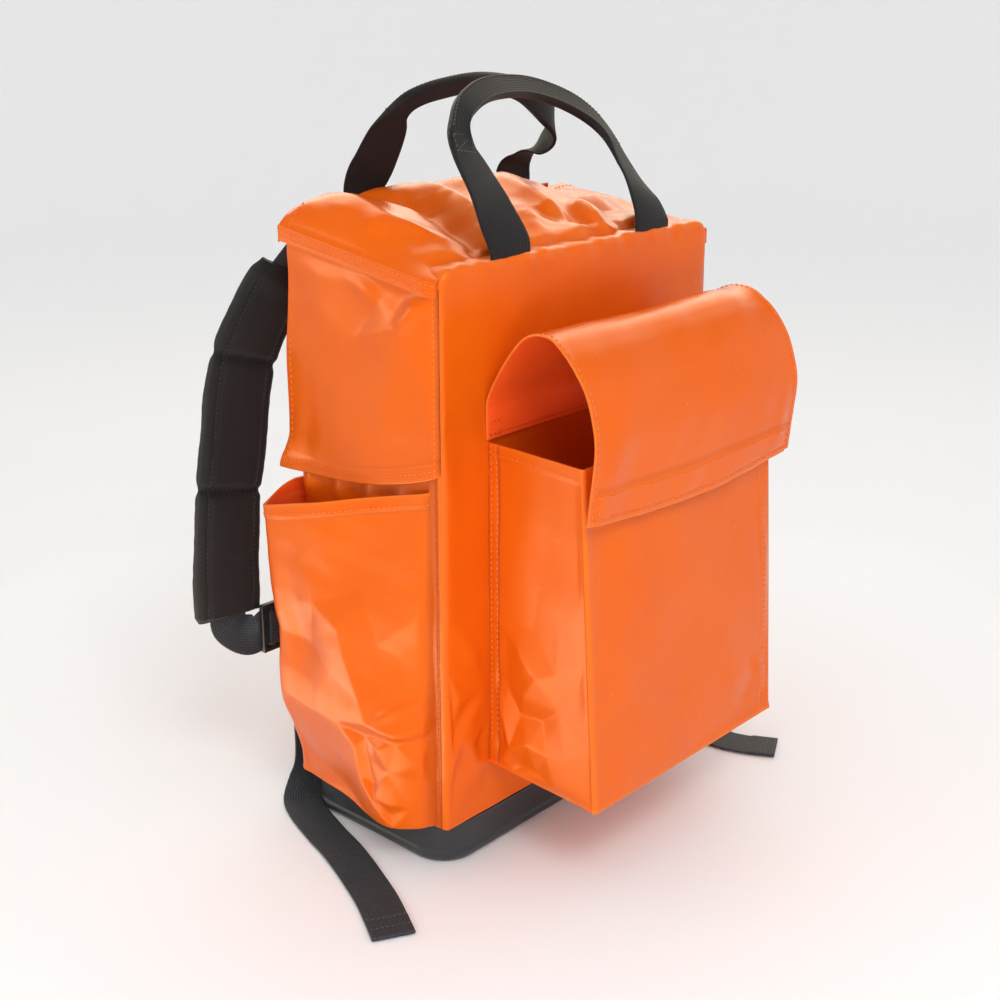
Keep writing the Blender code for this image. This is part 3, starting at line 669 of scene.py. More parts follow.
def sew(name, sheet, ply, outer, inner, wear_and_painted_light=None, edge=0.45):
    """A cloth piece from its outer face: thickness inwards and softened cut edges."""
    rows, columns = sheet.points.shape[:2]
    sheet.measure()
    faces = grid_quads(rows, columns)
    flat = sheet.points.reshape(-1, 3)
    normals = sheet.normals().reshape(-1, 3)
    first = faces[len(faces) // 2]
    turned = np.cross(flat[first[1]] - flat[first[0]], flat[first[3]] - flat[first[0]])
    if turned @ normals[first[0]] < 0:
        faces = faces[:, ::-1]
    obj = mesh_object(name, flat, faces, [outer, inner])
    across, down = np.meshgrid(sheet.across, sheet.down)
    give_uv(obj, np.stack([across, down], -1).reshape(-1, 2) * MM)
    give_light_and_wear(obj, np.zeros(rows * columns) if wear_and_painted_light is None else wear_and_painted_light)
    solid = obj.modifiers.new("Ply", "SOLIDIFY")
    solid.thickness = ply * MM
    solid.offset = -1
    solid.material_offset = 1
    if edge:
        round_edges(obj, edge, 2, 60)
    return settle(obj)


def stitch_tree():
    """Geometry nodes that lay one rounded thread per pitch along the edges of a mesh."""
    tree = bpy.data.node_groups.get("stitch_row")
    if tree:
        return tree
    tree = bpy.data.node_groups.new("stitch_row", "GeometryNodeTree")
    for label, kind in (
        ("Lines", "NodeSocketGeometry"),
        ("Pitch", "NodeSocketFloat"),
        ("Length", "NodeSocketFloat"),
        ("Thread", "NodeSocketFloat"),
        ("Material", "NodeSocketMaterial"),
    ):
        tree.interface.new_socket(label, in_out="INPUT", socket_type=kind)
    tree.interface.new_socket("Stitches", in_out="OUTPUT", socket_type="NodeSocketGeometry")
    given = tree.nodes.new("NodeGroupInput").outputs
    curves = shader_node(tree, "GeometryNodeMeshToCurve", {"Mesh": given["Lines"]})
    points = shader_node(
        tree,
        "GeometryNodeCurveToPoints",
        {"Curve": curves.outputs[0], "Length": given["Pitch"]},
        mode="LENGTH",
    )
    turn = shader_node(
        tree, "FunctionNodeAlignRotationToVector", {"Vector": points.outputs["Tangent"]}, axis="X"
    )
    drop = shader_node(tree, "GeometryNodeMeshUVSphere", {"Segments": 6, "Rings": 4, "Radius": 0.5})
    scale = shader_node(
        tree, "ShaderNodeCombineXYZ", {0: given["Length"], 1: given["Thread"], 2: given["Thread"]}
    )
    shaped = shader_node(
        tree, "GeometryNodeTransform", {"Geometry": drop.outputs[0], "Scale": scale.outputs[0]}
    )
    placed = shader_node(
        tree,
        "GeometryNodeInstanceOnPoints",
        {"Points": points.outputs["Points"], "Instance": shaped.outputs[0], "Rotation": turn.outputs[0]},
    )
    real = shader_node(tree, "GeometryNodeRealizeInstances", {"Geometry": placed.outputs[0]})
    painted = shader_node(
        tree, "GeometryNodeSetMaterial", {"Geometry": real.outputs[0], "Material": given["Material"]}
    )
    out = tree.nodes.new("NodeGroupOutput")
    tree.links.new(painted.outputs[0], out.inputs[0])
    return tree


def stitch(name, lines, material=None, scale=1.0):
    """Rows of stitches along lines of points, as one plain mesh that rides on the bag."""
    cloth = bpy.context.scene.backpack_cloth
    points, edges = [], []
    for line in lines:
        start = len(points)
        points += [tuple(np.asarray(p) * MM) for p in line]
        edges += [(i, i + 1) for i in range(start, len(points) - 1)]
    mesh = bpy.data.meshes.new(name)
    mesh.from_pydata(points, edges, [])
    obj = new_object(name, mesh)
    tree = stitch_tree()
    rows = obj.modifiers.new("Stitches", "NODES")
    rows.node_group = tree
    values = {
        "Pitch": cloth.stitch_pitch * MM * scale,
        "Length": cloth.stitch_length * MM * scale,
        "Thread": cloth.thread_size * MM,
        "Material": material or thread(),
    }
    for item in tree.interface.items_tree:
        if item.in_out == "INPUT" and item.name in values:
            rows[item.identifier] = values[item.name]
    settle(obj)
    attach(obj, "root")
    return obj


def webbing_stitch(name, lines):
    """Short dark stitches on webbing."""
    return stitch(name, lines, dark_thread(), scale=0.8)


def dress(obj, node):
    """Rides on the bag, in place of this frame node."""
    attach(obj, "root")
    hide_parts(node)


def unit(v):
    """Vectors brought to length 1."""
    return v / np.maximum(np.linalg.norm(v, axis=-1, keepdims=True), 1e-9)


def path_axes(centres, facing):
    """Unit vectors along a path, out of its face and across it."""
    along = unit(np.gradient(centres, axis=0))
    facing = unit(facing - (facing * along).sum(1)[:, None] * along)
    return along, facing, np.cross(along, facing)


def sweep(name, centres, facing, widths, plies, materials, section, cup=None):
    """A closed section of (across, through) points carried along a path, with capped ends."""
    centres = np.asarray(centres, float)
    _, facing, across = path_axes(centres, facing)
    section = np.asarray(section, float)
    widths, plies = np.asarray(widths)[:, None, None], np.asarray(plies)[:, None, None]
    points = centres[:, None] + across[:, None] * section[None, :, :1] * widths / 2
    points = points + facing[:, None] * section[None, :, 1:] * plies / 2
    if cup is not None:
        bent = np.asarray(cup)[:, None] * (1 - section[None, :, 0] ** 2)
        points = points + facing[:, None] * bent[..., None]
    sides = len(section)
    rows = len(centres)
    faces = grid_quads(rows, sides, wrap=True).tolist()
    faces.append(list(range(sides))[::-1])
    faces.append(list(range((rows - 1) * sides, rows * sides)))
    obj = mesh_object(name, points.reshape(-1, 3), faces, materials)
    u = section[None, :, 0] * widths[:, :, 0] / 2
    uv = np.stack([u, np.broadcast_to(run_along(centres)[:, None], u.shape)], -1).reshape(-1, 2)
    give_uv(obj, uv * MM)
    turn_outwards(obj, 50)
    return obj


def box_seam(middle, across, along, up, wide, tall):
    """A sewn box with one diagonal."""
    corners = [(-wide, -tall), (wide, -tall), (wide, tall), (-wide, tall), (-wide, -tall), (wide, tall)]
    corners = np.array([middle + across * a + along * b + up for a, b in corners])
    steps = np.linspace(0, 1, 6)[:, None]
    return np.vstack([start + (end - start) * steps for start, end in zip(corners, corners[1:])])


def band_section(count, round_share):
    """A flat band with rounded selvedges: points of (across, through) between -1 and 1."""
    top = [(x, 1.0) for x in np.linspace(-1 + round_share, 1 - round_share, count)]
    right = [(1 - round_share * 0.3, 0.75), (1.0, 0.0), (1 - round_share * 0.3, -0.75)]
    bottom = [(x, -1.0) for x in np.linspace(1 - round_share, -1 + round_share, count)]
    left = [(-1 + round_share * 0.3, -0.75), (-1.0, 0.0), (-1 + round_share * 0.3, 0.75)]
    return top + right + bottom + left


# Front panel


def front_panel():
    """The stiff front sheet: a flat pan with rolled edges and puckers where the lid is sewn in."""
    cloth = bpy.context.scene.backpack_cloth
    wrap, roll, corner = 9.0, 4.5, 15.0
    half = PANEL_HALF
    foot = PANEL[0][2]
    edge = np.linspace(0, 1, 15)
    side = half - 9 + (9 + wrap) * edge
    s = np.concatenate([-side[::-1], np.linspace(-half + 9, half - 9, 112)[1:-1], side])
    top = HEIGHT - 9 + (9 + 10) * edge
    t = np.concatenate([np.linspace(foot, HEIGHT - 9, 150)[:-1], top])[::-1]
    s, t = np.meshgrid(s, t)
    qx, qz = np.abs(s) - (half - corner), t - (HEIGHT - corner)
    at_corner = (qx > 0) & (qz > 0)
    reach = np.hypot(qx, qz)
    inside = np.where(at_corner, corner - reach, np.minimum(half - np.abs(s), HEIGHT - t))
    past_corner = at_corner & (inside < 0)
    pull = np.where(past_corner, corner / np.maximum(reach, 1e-6), 1.0)
    x = np.where(past_corner, np.sign(s) * (half - corner + qx * pull), np.clip(s, -half, half))
    z = np.where(past_corner, HEIGHT - corner + qz * pull, np.minimum(t, HEIGHT))
    near = np.clip(roll - inside, 0.0, roll)
    y = FRONT_FACE + roll - np.sqrt(np.maximum(roll**2 - near**2, 0.0)) + np.maximum(-inside, 0.0)
    sheet = Sheet(np.stack([x, y, z], -1), BODY_MIDDLE)
    p = sheet.points
    face = ease(inside / 10)
    top_edge = bump(HEIGHT - z, 1.0, 9.0) * ease((HEIGHT - z + 3) / 4)
    push = ripples(p, 150, 0.9, 3) * face + ripples(p, 45, 0.22, 4) * face
    push += top_edge * (ripples(p * (1, 0.2, 0.2), 19, 0.75, 5) - 0.3)
    left_edge = bump(np.abs(x), half, 8.0) * ease((inside + 2) / 6)
    push += left_edge * ripples(p * (0.2, 0.2, 1), 30, 0.35, 6)
    crumple = (
        (-151, 215, 0), (-103, 215, 0), (-126, 192, 0.6), (-149, 160, 0), (-143, 142, 2.6),
        (-127, 133, -1.4), (-116, 138, 1.8), (-103, 130, 0), (-145, 118, -2.4), (-129, 122, 2.6),
        (-117, 99, -1.8), (-138, 106, 1.8), (-127, 98, 2.8), (-147, 92, 1.0), (-136, 89, -1.2),
        (-119, 74, 1.8), (-107, 78, 0), (-146, 72, -0.8), (-131, 68, 1.4), (-117, 48, 0), (-148, 44, 0),
        (-103, 44, 0), (-111, 113, 0.6), (-103, 95, 0),
    )
    creases = (
        (-140, 196, -124, 168, 5, 1.0, 0.6),
        (118, 150, 145, 132, 7, 1.5, 0.5),
        (121, 120, 146, 100, 7, -1.2, 0.4),
        (-146, 330, -150, 210, 10, 0.8, 0.1),
        (-135, 345, -128, 300, 14, -1.4, 0.1),
    )
    push += facets(x, z, crumple, 1) * cloth.creasing * ease((inside + 1) / 8)
    push += folds(x, z, creases) * cloth.creasing * ease((inside + 1) / 8)
    beside = (z < HEIGHT - 18) * 1.0
    push -= 1.3 * bump(inside, -1.6, 1.0) * beside
    sheet.push(push)
    # Paler along the rolled edges and in spots on the top edge, partly rubbed wear and partly painted
    # highlight; painted shade darkens the seam groove and the turned-back flange beside it
    wear_and_painted_light = bump(inside, 1.0, 2.5) * 0.3 + top_edge * 0.25 * (ripples(p, 14, 1.0, 8) > 0.3)
    wear_and_painted_light -= beside * (0.95 * bump(inside, -1.6, 0.9) + 0.32 * ease((-1.0 - inside) / 2.0))
    obj = sew("front_panel_cloth", sheet, 2.0, shell_cloth(), lining_cloth(), wear_and_painted_light)
    dress(obj, "front_panel")
    rows = [sheet.line((24, 6.0), (-12, 6.0)), sheet.line((24, -6.0), (-12, -6.0))]
    seams = stitch("front_panel_stitches", rows, deep_thread())


# Walls, back, tray


def rounded_ring(half_width, half_depth, radius, corner_steps, side_steps):
    """Points round a rectangle with rounded corners, anticlockwise from above."""
    ring = []
    corners = ((1, -1, -90), (1, 1, 0), (-1, 1, 90), (-1, -1, 180))
    for i, (sx, sy, start) in enumerate(corners):
        centre = np.array([sx * (half_width - radius), sy * (half_depth - radius)])
        turns = np.radians(np.linspace(start, start + 90, corner_steps + 1))
        arc = centre + radius * np.stack([np.cos(turns), np.sin(turns)], 1)
        after = corners[(i + 1) % 4]
        target = np.array([after[0] * (half_width - radius), after[1] * (half_depth - radius)])
        target = target + radius * np.array([math.cos(turns[-1]), math.sin(turns[-1])])
        ring.append(arc)
        ring.append(arc[-1] + (target - arc[-1]) * np.linspace(0, 1, side_steps + 1)[1:-1, None])
    return np.vstack(ring)


def drawn_in(z, at_top):
    """How far the upper back is drawn in at each height, with this share of it left at the top."""
    most = 9.0
    levels = (0.35, 0.6, 0.74, 0.87, 0.94, 1.0)
    return most * np.interp(z / HEIGHT, levels, (0.0, 0.15, 0.55, 1.0, 0.8, at_top))


def main_walls():
    """The four walls of the main compartment: the cloth bulges between each flap and pocket."""
    ring = rounded_ring(SIDE - 0.4, BACK - 0.4, 12.0, 6, 46)
    ring = np.vstack([ring, ring[:1]])
    x, share = np.meshgrid(ring[:, 0], np.linspace(0, 1, 120))
    y = np.broadcast_to(ring[:, 1], x.shape)
    top = fold_height(y) + 8.0
    z = top + (WALL[0][2] + 1 - top) * share
    y = y - drawn_in(z, 0.4) * ease((y + BACK) / DEPTH)
    sheet = Sheet(np.stack([x, y, z], -1), BODY_MIDDLE)
    low = ease((z - TRAY_TOP - 6) / 12)
    beside = bump(z, 281, 18) * (np.abs(x) > SIDE - 14)
    push = ripples(sheet.points, 90, 0.25, 11) * low - 0.3
    for middle, height in ((56, 8.5), (24, 6.5), (-8, 5.5), (-42, 5.0)):
        push += beside * height * bump(y, middle, 12)
    push = push * ease((BACK - 4 - np.abs(y)) / 12)
    sheet.push(push)
    # The foot is drawn round to the tray's corner
    radius = 29.0
    far = np.abs(sheet.points[..., :2]) - (SIDE - radius, BACK - radius)
    reach = np.hypot(*np.maximum(far, 0).transpose(2, 0, 1))
    cut = (far.min(-1) > 0) & (reach > radius)
    share = np.where(cut, radius / np.maximum(reach, 1e-6), 1.0)
    share = 1 - (1 - share) * ease((TRAY_TOP + 12 - z) / 10)
    for axis, reach_to in ((0, SIDE), (1, BACK)):
        inner = reach_to - radius + far[..., axis] * share
        values = sheet.points[..., axis]
        sheet.points[..., axis] = np.where(cut, np.sign(values) * inner, values)
    obj = sew("main_walls", sheet, 1.5, shell_cloth(), lining_cloth(), edge=0)
    dress(obj, "body_shell")


QUILT_LEVELS = (150.0, 255.0, 360.0)


def back_panel():
    """A padded back: cloth over foam, quilted in channels, with a bound edge."""
    cloth = bpy.context.scene.backpack_cloth
    half = BACK_PAD[1][0]
    foot, top = BACK_PAD[0][2], BACK_PAD[1][2]
    u, v = np.meshgrid(np.linspace(0, 1, 110) * 2 - 1, np.linspace(0, 1, 150))
    x = half * np.sign(u) * np.abs(u) ** 0.9
    z = top - (top - foot) * v
    swell = 3.0 * np.sin(math.pi * v) * (1 - (np.abs(x) / 151.0) ** 2)
    side_edge = np.minimum((half - np.abs(x)) / 9.0, 1.0)
    end_edge = np.minimum(np.minimum(top - z, z - foot) / 9.0, 1.0)
    crown = np.sqrt(np.clip(1 - (1 - np.minimum(side_edge, end_edge)) ** 2, 0, 1))
    y = BACK + 0.5 + 8.0 * crown - drawn_in(z, 0.0) + swell * crown
    sheet = Sheet(np.stack([x, y, z], -1), BODY_MIDDLE)
    push = ripples(sheet.points, 80, 0.5, 21) * crown
    for level in QUILT_LEVELS:
        push -= 3.4 * bump(z, level, 3.2) * ease((half - 18 - np.abs(x)) / 4)
    push -= 2.4 * bump(np.abs(x), half - 15, 2.6) * (end_edge > 0.9)
    sheet.push(push * cloth.creasing)
    obj = sew("back_panel_cover", sheet, 1.5, shell_cloth(), lining_cloth(), edge=0)
    # A second, thinner skin inside the first
    backing = obj.modifiers.new("Backing", "SOLIDIFY")
    backing.thickness = 0.6 * MM
    settle(obj)
    dress(obj, "back_panel")
    rows = [sheet.line((16, 15.0), (-16, 15.0)), sheet.line((16, -15.0), (-16, -15.0))]
    for level in QUILT_LEVELS:
        drop = top - level + 3.0
        rows.append(sheet.line((drop, 19.0), (drop, -19.0)))
    stitch("back_panel_stitches", rows)


def base_tray():
    """The moulded tray: drafted sides, a step above the rounded foot and a rolled rim."""
    settings = bpy.context.scene.backpack_tray
    ledge = settings.ledge
    half, deep, radius = TRAY[1][0], TRAY[1][1], 32.0
    # Each ring's inset from the outline, and its height: up the outside, over the rim, down the inside
    profile = (
        (9.6, 0.0),
        (5.6, 0.7),
        (3.2, 2.4),
        (1.6, 5.0),
        (1.0, ledge - 1.2),
        (1.1, ledge + 0.2),
        (2.3, ledge + 1.5),
        (2.4, ledge + 2.4),
        (1.4, TRAY_TOP - 5.0),
        (1.2, TRAY_TOP - 4.0),
        (0.2, TRAY_TOP - 3.2),
        (0.0, TRAY_TOP - 1.4),
        (0.5, TRAY_TOP - 0.3),
        (1.3, TRAY_TOP),
        (2.2, TRAY_TOP - 0.3),
        (2.8, TRAY_TOP - 1.4),
        (3.1, 14.0),
        (5.0, 7.0),
        (11.0, 3.2),
    )
    rings = []
    for inset, z in profile:
        ring = rounded_ring(half - inset, deep - inset, radius - inset, settings.around, 24)
        rings.append(np.column_stack([ring, np.full(len(ring), z)]))
    points = np.array(rings)
    count = points.shape[1]
    faces = grid_quads(len(points), count, wrap=True).tolist()
    faces.append(list(range(count))[::-1])
    faces.append(list(range((len(points) - 1) * count, len(points) * count)))
    polymer = moulded_polymer("moulded_polypropylene", settings.charcoal)
    obj = mesh_object("tray_moulding", points.reshape(-1, 3), faces, [polymer])
    turn_outwards(obj, 40)
    dress(obj, "base_tray")


# Lid and side flaps


def fold_height(y):
    """The lower edge of the lid's side hem, climbing from front to back."""
    return HEIGHT - 20.0 + 23.0 * (y + BACK) / DEPTH


# Share of the depth from the front, and the height of the lid's middle as a share of its crown
LID_CROWN = (
    (0.00, -0.16),
    (0.05, 0.08),
    (0.12, 0.27),
    (0.22, 0.45),
    (0.36, 0.66),
    (0.55, 0.88),
    (0.75, 1.00),
    (0.90, 1.00),
    (1.00, 0.92),
)


def lid():
    """The soft top: hemmed sides, full shoulders and the folds that the handles pull into it."""
    cloth = bpy.context.scene.backpack_cloth
    hem = 11.0
    crown_height = 29.0
    crown_half = HEM_LAYER - 1.6
    depth = np.linspace(0, 1, 120)
    drop = np.linspace(0, 1, 8)
    inner = np.linspace(-1, 1, 150)
    u = np.concatenate([np.full(8, -1.0), inner, np.full(8, 1.0)])
    hem_share = np.concatenate([drop, np.full(len(inner), 2.0), drop[::-1]])
    u, share = np.meshgrid(u, depth)
    hem_share = np.broadcast_to(hem_share, u.shape)
    ahead = 9.0 * (1 - ease((np.abs(u) - 0.86) / 0.14))
    front = -BACK - 0.4 + ahead
    y = front + (BACK - 2.0 - front) * share
    crown = HEIGHT + crown_height * column_of(LID_CROWN, share)[0]
    edge = fold_height(y) + hem
    wide = np.sign(u) * np.abs(u) ** 0.62
    power = 5.0 + 9.0 * ease((share - 0.1) / 0.6)
    dome = np.clip(1 - np.abs(wide) ** power, 0, 1) ** 0.85
    right_dip = 15.0 * ease((wide - 0.15) / 0.75) * ease(share / 0.4)
    top = edge + (crown - right_dip - edge) * dome + 1.2
    on_hem = hem_share <= 1.0
    tuck = 2.4 * (1 - ease((y + BACK) / 9))
    x = np.where(on_hem, u * (HEM_LAYER - tuck), (crown_half - tuck) * wide)
    z = np.where(on_hem, fold_height(y) + hem * np.minimum(hem_share, 1.0), top)
    sheet = Sheet(np.stack([x, y, z], -1), TOP_MIDDLE)
    # Rows that turn the back edge down to the back panel
    last = sheet.points[-1]
    turned = []
    for fall in (0.06, 0.2, 0.4, 0.6, 0.8, 1.0):
        row = last.copy()
        row[:, 1] += 1.6 * math.sin(math.pi / 2 * min(fall * 3, 1.0))
        row[:, 2] += (np.minimum(last[:, 2], BACK_PAD[1][2] - 3.0) - last[:, 2]) * fall
        turned.append(row)
    free = np.where(on_hem, 0.0, ease((1 - np.abs(wide)) / 0.12))
    ends = ease(share / 0.06) * ease((1 - share) / 0.05)
    creases = (
        (-83, 46, -80, -4, 13, -9.0, 0.1),
        (-80, -4, -93, -50, 9, -8.0, 0.3),
        (-54, 70, -50, 14, 12, 6.0, 0.2),
        (-50, 16, -60, -28, 9, 8.0, 0.5),
        (-60, -26, -84, -60, 6, 7.0, 0.8),
        (-120, 56, -124, -28, 22, 5.5, 0.0),
        (-126, -26, -106, -62, 12, 3.4, 0.3),
        (-139, 62, -112, 74, 9, 3.5, 0.2),
        (-134, -52, -112, -64, 5, 2.4, 0.7),
        (-60, -58, -20, -68, 7, 3.6, 0.7),
        (-35, -38, 8, -62, 8, -4.0, 0.3),
        (-16, -36, 4, -68, 6, 6.0, 0.9),
        (26, -16, 12, -68, 6, 6.4, 0.9),
        (4, -50, 28, -68, 6, -4.0, 0.5),
        (40, -24, 30, -66, 7, -4.4, 0.5),
        (52, -34, 40, -66, 6, 4.0, 0.8),
        (14, 10, 26, -24, 12, 4.0, 0.3),
        (-4, 62, 12, 16, 20, 7.5, 0.1),
        (58, -6, 62, -60, 8, 4.4, 0.6),
        (78, 20, 74, -50, 11, -5.0, 0.3),
        (60, 56, 104, 44, 13, -4.4, 0.3),
        (104, 40, 108, -40, 13, 4.4, 0.3),
        (128, 56, 124, -50, 13, -3.6, 0.3),
        (138, -40, 118, -64, 8, 3.4, 0.5),
        (-30, 74, 44, 70, 9, -2.4, 0.2),
    )
    crumple = (
        (-158, 78, 0), (-158, 0, 0), (-158, -74, 0), (-100, 80, 0), (0, 80, 0), (100, 80, 0),
        (158, 78, 0), (158, 0, 0), (158, -74, 0), (-120, -72, 0), (-60, -72, 0), (0, -72, 0),
        (60, -72, 0), (120, -72, 0), (-125, 40, 5), (-130, -8, 7.5), (-118, -45, 4), (-112, 62, 3.5),
        (-145, 34, 4), (-84, 38, -4), (-80, 0, -7), (-88, -35, -6), (-94, -56, -3), (-56, 66, 3),
        (-46, 42, 6), (-50, 5, 8), (-60, -25, 7), (-80, -60, 3), (-20, 44, -2), (-28, 0, -1),
        (-35, -30, -1.5), (-22, -47, 3.5), (-10, -28, 4.5), (-4, -58, -3), (6, -35, -3.5),
        (12, -60, 4.5), (18, -25, 7), (27, -52, -3.5), (35, -30, -2), (40, -60, 3.5), (50, -30, 5.5),
        (58, -62, -2.5), (62, -10, 1), (24, 20, 7), (10, 50, 2), (48, 46, 7), (76, -20, -4.5),
        (80, 30, -3.5), (90, -57, 2.5), (104, 0, 3.5), (104, 45, -1.5), (125, -30, -2.5),
        (128, 30, -2.5),
    )
    push = (facets(x, y, crumple) + 0.35 * folds(x, y, creases)) * cloth.creasing * ends * free
    wave = ripples(sheet.points, 60, 1.4, 31) * free * ends
    push += wave + ripples(sheet.points, 24, 0.45, 32) * free * ends
    push += bump(hem_share, 0.0, 0.12) * 0.3 * on_hem
    # Distance from the nearest leg of a handle, where the cloth is sewn down
    legs = np.minimum(
        np.minimum(np.abs(x + 79.5), np.abs(x - 83.6)) + 200 * (share > 0.5),
        np.minimum(np.abs(x + 73.8), np.abs(x - 95.1)) + 200 * (share <= 0.5),
    )
    under_leg = (1 - ease((legs - 20) / 9)) * (ease((0.10 - share) / 0.08) + ease((share - 0.92) / 0.06))
    sheet.push(push)
    into = np.where(share < 0.5, 1.0, -1.0)
    sheet.points[..., 1] += into * 3.6 * under_leg * free
    sheet.points[..., 2] -= 1.5 * under_leg * free
    top_rows = Sheet(sheet.points, sheet.centre)
    sheet.points = np.concatenate([sheet.points, np.array(turned)])
    # Fold crests and the hem's lower edge paler, partly rubbed wear and partly painted highlight
    wear_and_painted_light = np.clip(folds(x, y, [row for row in creases if row[5] > 0 and row[6] > 0.3]) / 9, 0, 0.5) * free
    wear_and_painted_light = wear_and_painted_light + 0.35 * bump(np.where(on_hem, hem_share, 1.5), 0.0, 0.1)
    wear_and_painted_light = np.concatenate([wear_and_painted_light, np.zeros((len(turned), wear_and_painted_light.shape[1]))])
    obj = sew("lid_cloth", sheet, cloth.ply, shell_cloth(), lining_cloth(), wear_and_painted_light)
    dress(obj, "lid")
    rows = []
    for sign in (1, -1):
        for off in (3.6, 8.6):
            rows.append(top_rows.line((3, sign * off), (-3, sign * off)))
        rows.append(top_rows.line((-10.0, sign * 14.0), (-10.0, sign * 34.0)))
    seams = stitch("lid_stitches", rows)


def side_flap(name, side):
    """Hangs from under the lid's hem, with pulled folds and a back corner that kicks out."""
    cloth = bpy.context.scene.backpack_cloth
    start, end = -BACK - 0.8, BACK + 1.0
    layer = SIDE + 2.8
    down, along = np.meshgrid(np.linspace(0, 1, 110), np.linspace(0, 1, 90), indexing="ij")
    setback = 8.0 - 9.0 * down
    y = start + (end - setback - start) * along
    top = fold_height(y) + 6.0
    foot = 314.0 - 25.0 * along**0.7 - 5.0 * np.sin(math.pi * along)
    kick = 6.0 * ease((down - 0.84) / 0.16) * ease((along - 0.7) / 0.3)
    belly = 3.0 * np.sin(math.pi * along) * ease((down - 0.2) / 0.6)
    x = layer + 2.0 - 2.6 * (1 - ease((y - start) / 6)) + kick + belly
    z = top + (foot - top) * down
    sheet = Sheet(np.stack([side * x, y + kick * 0.7, z], -1), TOP_MIDDLE)
    creases = (
        (16, 458, -34, 424, 9, 3.4, 0.3),
        (-30, 436, -44, 402, 10, -2.2, 0.2),
        (-72, 446, -46, 412, 8, 3.2, 0.4),
        (-56, 446, -44, 422, 9, -2.6, 0.2),
        (-20, 446, -24, 430, 10, -1.6, 0.2),
        (40, 455, 30, 380, 22, 1.3, 0.0),
        (-64, 400, -60, 330, 20, -1.0, 0.0),
        (66, 330, 74, 296, 9, 1.4, 0.3),
        (52, 318, 72, 300, 10, -1.2, 0.2),
    )
    free = ease((down - 0.04) / 0.08)
    pulled = (
        (-80, 470, 0), (-40, 470, 0), (20, 480, 0), (80, 490, 0), (24, 452, 0.5), (-6, 440, 1.0),
        (-30, 434, 1.0), (-40, 413, 8.5), (-58, 424, 5.5), (-70, 438, 3.0), (-50, 446, -1.0),
        (-66, 452, 0), (-78, 440, 0), (-40, 380, 4.5), (-66, 380, 2.5), (-78, 400, 0), (0, 400, 3.0),
        (40, 420, 1.5), (80, 420, 0), (-80, 330, 0), (-20, 330, 1.5), (30, 330, 1.5), (80, 330, 0),
        (-80, 280, 0), (0, 280, 0), (80, 280, 0),
    )
    push = (folds(y, z, creases) + facets(y, z, pulled)) * cloth.creasing * free * ease((y - start) / 8)
    push += ripples(sheet.points, 110, 0.8, 41 + side) * free + ripples(sheet.points, 30, 0.18, 43) * free
    drop = z - foot
    push += 0.55 * ease((12.5 - drop) / 1.6)
    sheet.push(push)
    # Paler along the bottom and back edges, partly rubbed wear and partly painted highlight; painted shade
    # in a line along the top of the hem and down the front edge
    wear_and_painted_light = 0.5 * bump(drop, 0.0, 2.0) + 0.3 * bump(end - y, 0.0, 2.5) - 0.25 * bump(drop, 12.4, 0.8)
    wear_and_painted_light -= 0.9 * bump(y - start, 0.0, 1.6)
    obj = sew(name, sheet, cloth.ply, shell_cloth(), lining_cloth(), wear_and_painted_light)
    dress(obj, name.replace("_cloth", ""))
    rows = [
        sheet.line((-7.0, 4.0), (-7.0, -3.0)),
        sheet.line((70.0, -5.0), (-4.0, -5.0)),
        sheet.line((4.0, 4.0), (-3.0, 4.0)),
    ]
    seams = stitch(name.replace("_cloth", "_stitches"), rows)


# Side pockets


# Height as a share, and how far the front, the middle and the back corner stand off there
POCKET_SECTIONS = (
    (0.0, 0.70, 0.55, 0.30),
    (0.2, 0.66, 0.64, 0.58),
    (0.4, 0.52, 0.66, 0.71),
    (0.6, 0.38, 0.64, 0.81),
    (0.8, 0.27, 0.60, 0.92),
    (1.0, 0.19, 0.56, 1.00),
)


def pocket_outline(share):
    """How far a pocket stands off, from its front edge round to its back edge, at each height."""
    near, middle, corner = column_of(POCKET_SECTIONS, share)
    zero = np.zeros_like(near)
    stops = (0.00, 0.05, 0.17, 0.36, 0.58, 0.77, 0.89, 0.96, 1.00, 1.00)
    out = (
        zero,
        0.55 * near,
        near,
        0.45 * near + 0.55 * middle,
        0.55 * middle + 0.45 * corner,
        0.20 * middle + 0.80 * corner,
        0.99 * corner,
        0.95 * corner,
        0.55 * corner,
        zero,
    )
    return np.array(stops), np.array(out)


